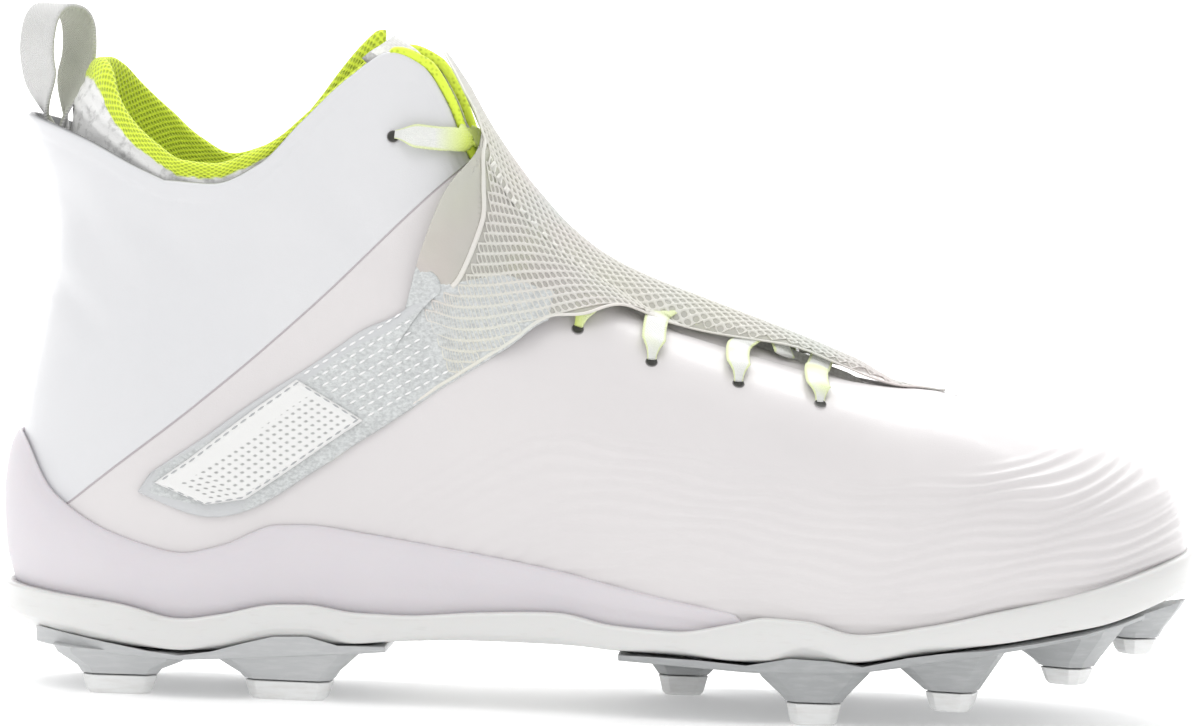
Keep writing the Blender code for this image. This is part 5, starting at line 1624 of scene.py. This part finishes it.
def strap_line(k):
    """One straight seam on the strap, from the tab's upper end towards the net."""
    share, along_it = k / (STRAP_SEAMS - 1), np.linspace(0, 1, 60)
    x = 79.0 + 16.6 * share + (26.0 - 5.0 * share) * along_it
    z = 82.6 - 9.8 * share + (17.2 - 4.6 * share) * along_it
    q = place_q(x, z)
    return over(x, q, cover_lift(x, q) + STRAP_THICK)


stitches("strap_stitches", [strap_line(k) for k in range(STRAP_SEAMS)], 0.55, thread_white)
edge = np.linspace(0, TAB_ALONG - 1, 80).astype(int)
tab_lines = [tab_face[edge, 4], tab_face[edge, -5],
             tab_face[3, 3:-3:4], tab_face[-4, 3:-3:4]]
stitches("tab_stitches", tab_lines, 0.5, thread_gray)

# %% [markdown]
# ## Laces and eyelets
#
# The lace is a flat woven band. It comes out of a small punched hole, widens, crosses the throat
# under the net and dives under the far edge. Each crossing is one band carried along a path over
# the instep, and its width and height are functions of the distance from the hole.

# %% Laces
# x and z of each hole, and x where its lace crosses the throat's edge
EYELETS = ((209.0, 79.6, 207.0), (188.4, 84.0, 187.0), (166.5, 88.8, 166.0), (147.6, 96.4, 150.0),
           (129.0, 106.5, 133.5), (112.5, 118.4, 121.5), (99.5, 143.6, 114.4))
LACE_WIDTH, LACE_START, LACE_UNDER = 6.2, 0.44, 0.84
NEON_X = 132.0                             # middle of the stretch where the bright threads show


def lace_path(hole, edge_x, side, start):
    """x and q from a place inside the throat to its edge, then straight on to a hole."""
    share = np.linspace(0, 1, 26)
    side_x = edge_x + (hole[0] - edge_x) * share
    side_z = roof(edge_x) - 0.2 + (hole[1] - roof(edge_x) + 0.2) * share
    inner_x = np.linspace(start[0], edge_x, 64, endpoint=False)
    inner_q = np.linspace(start[1], side * 1.0, 64, endpoint=False)
    return (np.concatenate([inner_x, side_x]),
            np.concatenate([inner_q, place_q(side_x, side_z) * -side]))


def lace_band(x, q, raised=0.0, both_ends=False):
    """Band along x and q: lens-shaped section, pinched at the hole at its last end, or at both."""
    x, q = running_mean(x, 5), running_mean(q, 5)
    lift = LACE_LIFT + raised + 0.5 * np.exp(-((np.abs(q) - 1.0) / 0.1) ** 2)
    reach = reach_along(over(x, q, lift))
    from_hole = reach[-1] - reach
    if both_ends:
        from_hole = np.minimum(from_hole, reach)
    middle = over(x, q, lift + 0.9 * np.exp(-((from_hole - 4) / 3) ** 2)
                  - 1.3 * np.exp(-(from_hole / 1.3) ** 2))
    up = unit(over(x, q, lift + 2.0) - middle)
    across = unit(np.cross(up, np.gradient(middle, axis=0)))
    width = LACE_WIDTH / 2 * (0.36 + 0.64 * ease(0.0, 6.0, from_hole))
    turn = np.linspace(0, 2 * np.pi, 14, endpoint=False)
    lens = np.stack([np.cos(turn), np.sign(np.sin(turn)) * np.abs(np.sin(turn)) ** 0.8], 1)
    rings = (middle[:, None] + across[:, None] * lens[None, :, :1] * width[:, None, None]
             + up[:, None] * (LACE_THICK / 2 + lens[None, :, 1:] * LACE_THICK / 2))
    uv = np.broadcast_arrays(reach[:, None], lens[None, :, 0] * LACE_WIDTH / 2)
    return rings, np.stack(uv, -1)


def lace_finish():
    """White woven band with neon threads that show in patches, ribbed across."""
    material, tree, shader = finish("woven_lace", (0.85, 0.86, 0.82), 0.8, Sheen_Weight=0.3,
                                    Sheen_Roughness=0.5)
    flat = add(tree, "SeparateXYZ", {0: add(tree, "TexCoord").outputs["UV"]})
    ribs = maths(tree, "SINE", maths(tree, "MULTIPLY", flat.outputs[0], 5.2))
    rows = maths(tree, "SINE", maths(tree, "MULTIPLY", flat.outputs[1], 7.5))
    weave = maths(tree, "MULTIPLY", ribs, rows)
    spot = add(tree, "SeparateXYZ", {0: add(tree, "TexCoord").outputs["Object"]})
    neon_at = maths(tree, "ABSOLUTE", maths(tree, "SUBTRACT", spot.outputs[0],
                                            (NEON_X - ORIGIN[0]) * MM))
    patches = maths(tree, "MAXIMUM", ramp(tree, neon_at, 0.022, 0.014),
                    ramp(tree, grain(tree, place(tree), 60.0, 1.0), 0.52, 0.66, 0.0, 0.45))
    tracer = ramp(tree, maths(tree, "ABSOLUTE", flat.outputs[1]), 2.3, 2.7, 0.0, 0.5)
    colour_by(tree, shader, two_colours(tree, maths(tree, "MAXIMUM", patches, tracer),
                                        (0.78, 0.79, 0.76), (0.74, 0.88, 0.16)))
    bumps(tree, shader, (weave, 0.12, 0.6))
    return material


lace_cloth = lace_finish()
eyelet_q = [-float(place_q(x, z)) for x, z, _ in EYELETS]
bar_edge = EYELETS[0][2]


def lace_piece(name, bands, node):
    """The bands of one solid as one piece, with the lengths along and across as UV map."""
    return tubes_piece(name, [b[0] for b in bands], lace_cloth, (node,),
                       [b[1] for b in bands])


bar = [lace_path(EYELETS[0][:2], bar_edge, side, (bar_edge, 0.0)) for side in (OUTER, INNER)]
bar = [np.concatenate([first[::-1], last[1:]]) for first, last in zip(*bar)]
lace_piece("front_lace", [lace_band(*bar, both_ends=True)], "lace_bar")
for k in range(len(EYELETS) - 1):
    start = EYELETS[k][2] + (EYELETS[k + 1][2] - EYELETS[k][2]) * LACE_START
    *hole, edge_x = EYELETS[k + 1]
    edge_x += 1.8 * (k == len(EYELETS) - 2)
    bands = [lace_band(*lace_path(hole, edge_x, side, (start, -side * LACE_UNDER)), raised)
             for side, raised in ((INNER, 0.0), (OUTER, 0.5))]
    lace_piece(f"lace_crossing_{k + 1}", bands, f"lace_cross_{k + 1}")
print(len(EYELETS), "laces")

# %% Eyelets
EYELET_RADIUS = 1.25


def eyelet_mesh():
    """Small dished discs on the shell just beyond each lace's end, on both sides of the foot."""
    turn = np.linspace(0, 2 * np.pi, 20, endpoint=False)
    radii = np.array([1.35, 1.2, 1.0, 0.85, 0.45]) * EYELET_RADIUS
    heights = np.array([0.0, 0.55, 0.68, 0.5, 0.45])
    points, faces = [], []
    for (x, z, _), q in zip(EYELETS, eyelet_q):
        for side in (-1, 1):
            at = over(x, side * (q + 0.004), 0.3)
            along_x = over(x + 1.0, side * (q + 0.004), 0.3) - at
            away = over(x, side * (q + 0.004), 1.3) - at
            e1 = unit(along_x)
            e2 = np.cross(away, e1)
            start = 5 * 20 * len(points)
            points.append([at + e1 * np.cos(a) * r + e2 * np.sin(a) * r + away * h
                           for r, h in zip(radii, heights) for a in turn])
            faces += [[start + v for v in face] for face in tube_faces(5, 20)]
    # the inner rings are marked for painted shade: the hole is not cut, its dark is painted
    return np.array(points), faces, np.tile(np.repeat([0, 0.8, 1, 1, 1], 20), len(points))


def eyelet_finish():
    """Panel's own white round a hole whose shade is painted near black."""
    material, tree, shader = finish("punched_eyelet", (0.76, 0.74, 0.74), 0.5)
    # painted shade: the hole's dark is painted near black on the marked rings
    colour_by(tree, shader, two_colours(tree, field(tree, "painted_hole_shade"), (0.76, 0.74, 0.74),
                                        (0.035, 0.035, 0.03)))
    bumps(tree, shader, (grain(tree, place(tree), 900.0), 0.05, 0.4))
    return material


eyelet_points, eyelet_faces, eyelet_hole_shade = eyelet_mesh()
facing_out(make_piece("eyelets", eyelet_points, eyelet_faces, eyelet_finish(),
                      fields={"painted_hole_shade": eyelet_hole_shade}), 1e-7)

# %% [markdown]
# ## Pull loop
#
# A band of webbing folded into a loop, with both ends held between the shell and the cuff. The
# band is carried along the loop's line; one of its two faces is painted darker olive as its shade.

# %% Pull loop
# x and z along the loop, up its hind leg and down its front leg
LOOP_LINE = ((12.0, 134.0), (10.6, 139.0), (8.0, 146.0), (5.2, 154.0), (3.6, 162.0), (4.6, 169.0),
             (8.6, 173.2), (13.6, 172.6), (17.2, 168.0), (17.6, 161.6), (15.6, 154.5),
             (13.4, 147.4), (12.8, 140.0), (13.9, 134.0))
LOOP_WIDTH, LOOP_THICK = 13.0, 1.3
LOOP_TWIST, LOOP_AXIS_X = np.radians(46), 12.0     # it turns its outer face to the outer side


def loop_rings():
    """Smooth line through the loop's points, a rounded band section along it, and a twist."""
    line = np.array(LOOP_LINE, float)
    reach = reach_along(line)
    at = np.linspace(0, reach[-1], 120)
    path = np.stack([running_mean(smooth(at, reach, line[:, k]), 7) for k in (0, 1)], 1)
    forward = unit(np.gradient(path, axis=0))
    normal = np.stack([forward[:, 1], -forward[:, 0]], 1)
    half, thick = LOOP_WIDTH / 2, LOOP_THICK / 2
    across = np.array([-1, -.985, -.9, -.6, -.3, 0, .3, .6, .9, .985, 1])
    lip = thick * np.array([.35, .8, 1, .82, .82, .82, .82, .82, 1, .8, .35])
    y = np.concatenate([across, across[::-1]]) * half
    off = np.concatenate([lip, -lip[::-1]])
    x = path[:, None, 0] + normal[:, None, 0] * off[None]
    z = path[:, None, 1] + normal[:, None, 1] * off[None]
    twist = LOOP_TWIST * ease(141, 157, z)
    x, y_turned = (LOOP_AXIS_X + (x - LOOP_AXIS_X) * np.cos(twist) - y * np.sin(twist),
                   (x - LOOP_AXIS_X) * np.sin(twist) + y * np.cos(twist))
    rings = np.stack(np.broadcast_arrays(x, y_turned, z), -1)
    # marks the face that is painted darker olive as its shade
    side = np.broadcast_to(np.repeat([1.0, 0.0], 11)[None], (120, 22))
    uv = np.stack(np.broadcast_arrays(at[:, None], y[None]), -1)
    return rings, side, uv


def loop_finish():
    """Woven tape with one face painted darker olive as its shade and one paler face."""
    material, tree, shader = finish("webbing", (0.6, 0.6, 0.58), 0.8, Sheen_Weight=0.2,
                                    Sheen_Roughness=0.5)
    flat = add(tree, "SeparateXYZ", {0: add(tree, "TexCoord").outputs["UV"]})
    ribs = maths(tree, "SINE", maths(tree, "MULTIPLY", flat.outputs[0], 8.0))
    rows = maths(tree, "SINE", maths(tree, "MULTIPLY", flat.outputs[1], 6.0))
    cloud = grain(tree, place(tree), 160.0)
    # painted shade: the marked face is coloured a darker olive than the other
    outer = two_colours(tree, cloud, (0.44, 0.45, 0.39), (0.56, 0.57, 0.50))
    inner = two_colours(tree, cloud, (0.58, 0.58, 0.57), (0.68, 0.68, 0.67))
    colour_by(tree, shader, two_colours(tree, field(tree, "outer"), inner, outer))
    bumps(tree, shader, (maths(tree, "MULTIPLY", ribs, rows), 0.14, 0.6))
    return material


loop_points, loop_shaded_face, loop_uv = loop_rings()
tubes_piece("webbing_loop", [loop_points], loop_finish(), ("pull_loop",), [loop_uv],
            {"outer": loop_shaded_face})
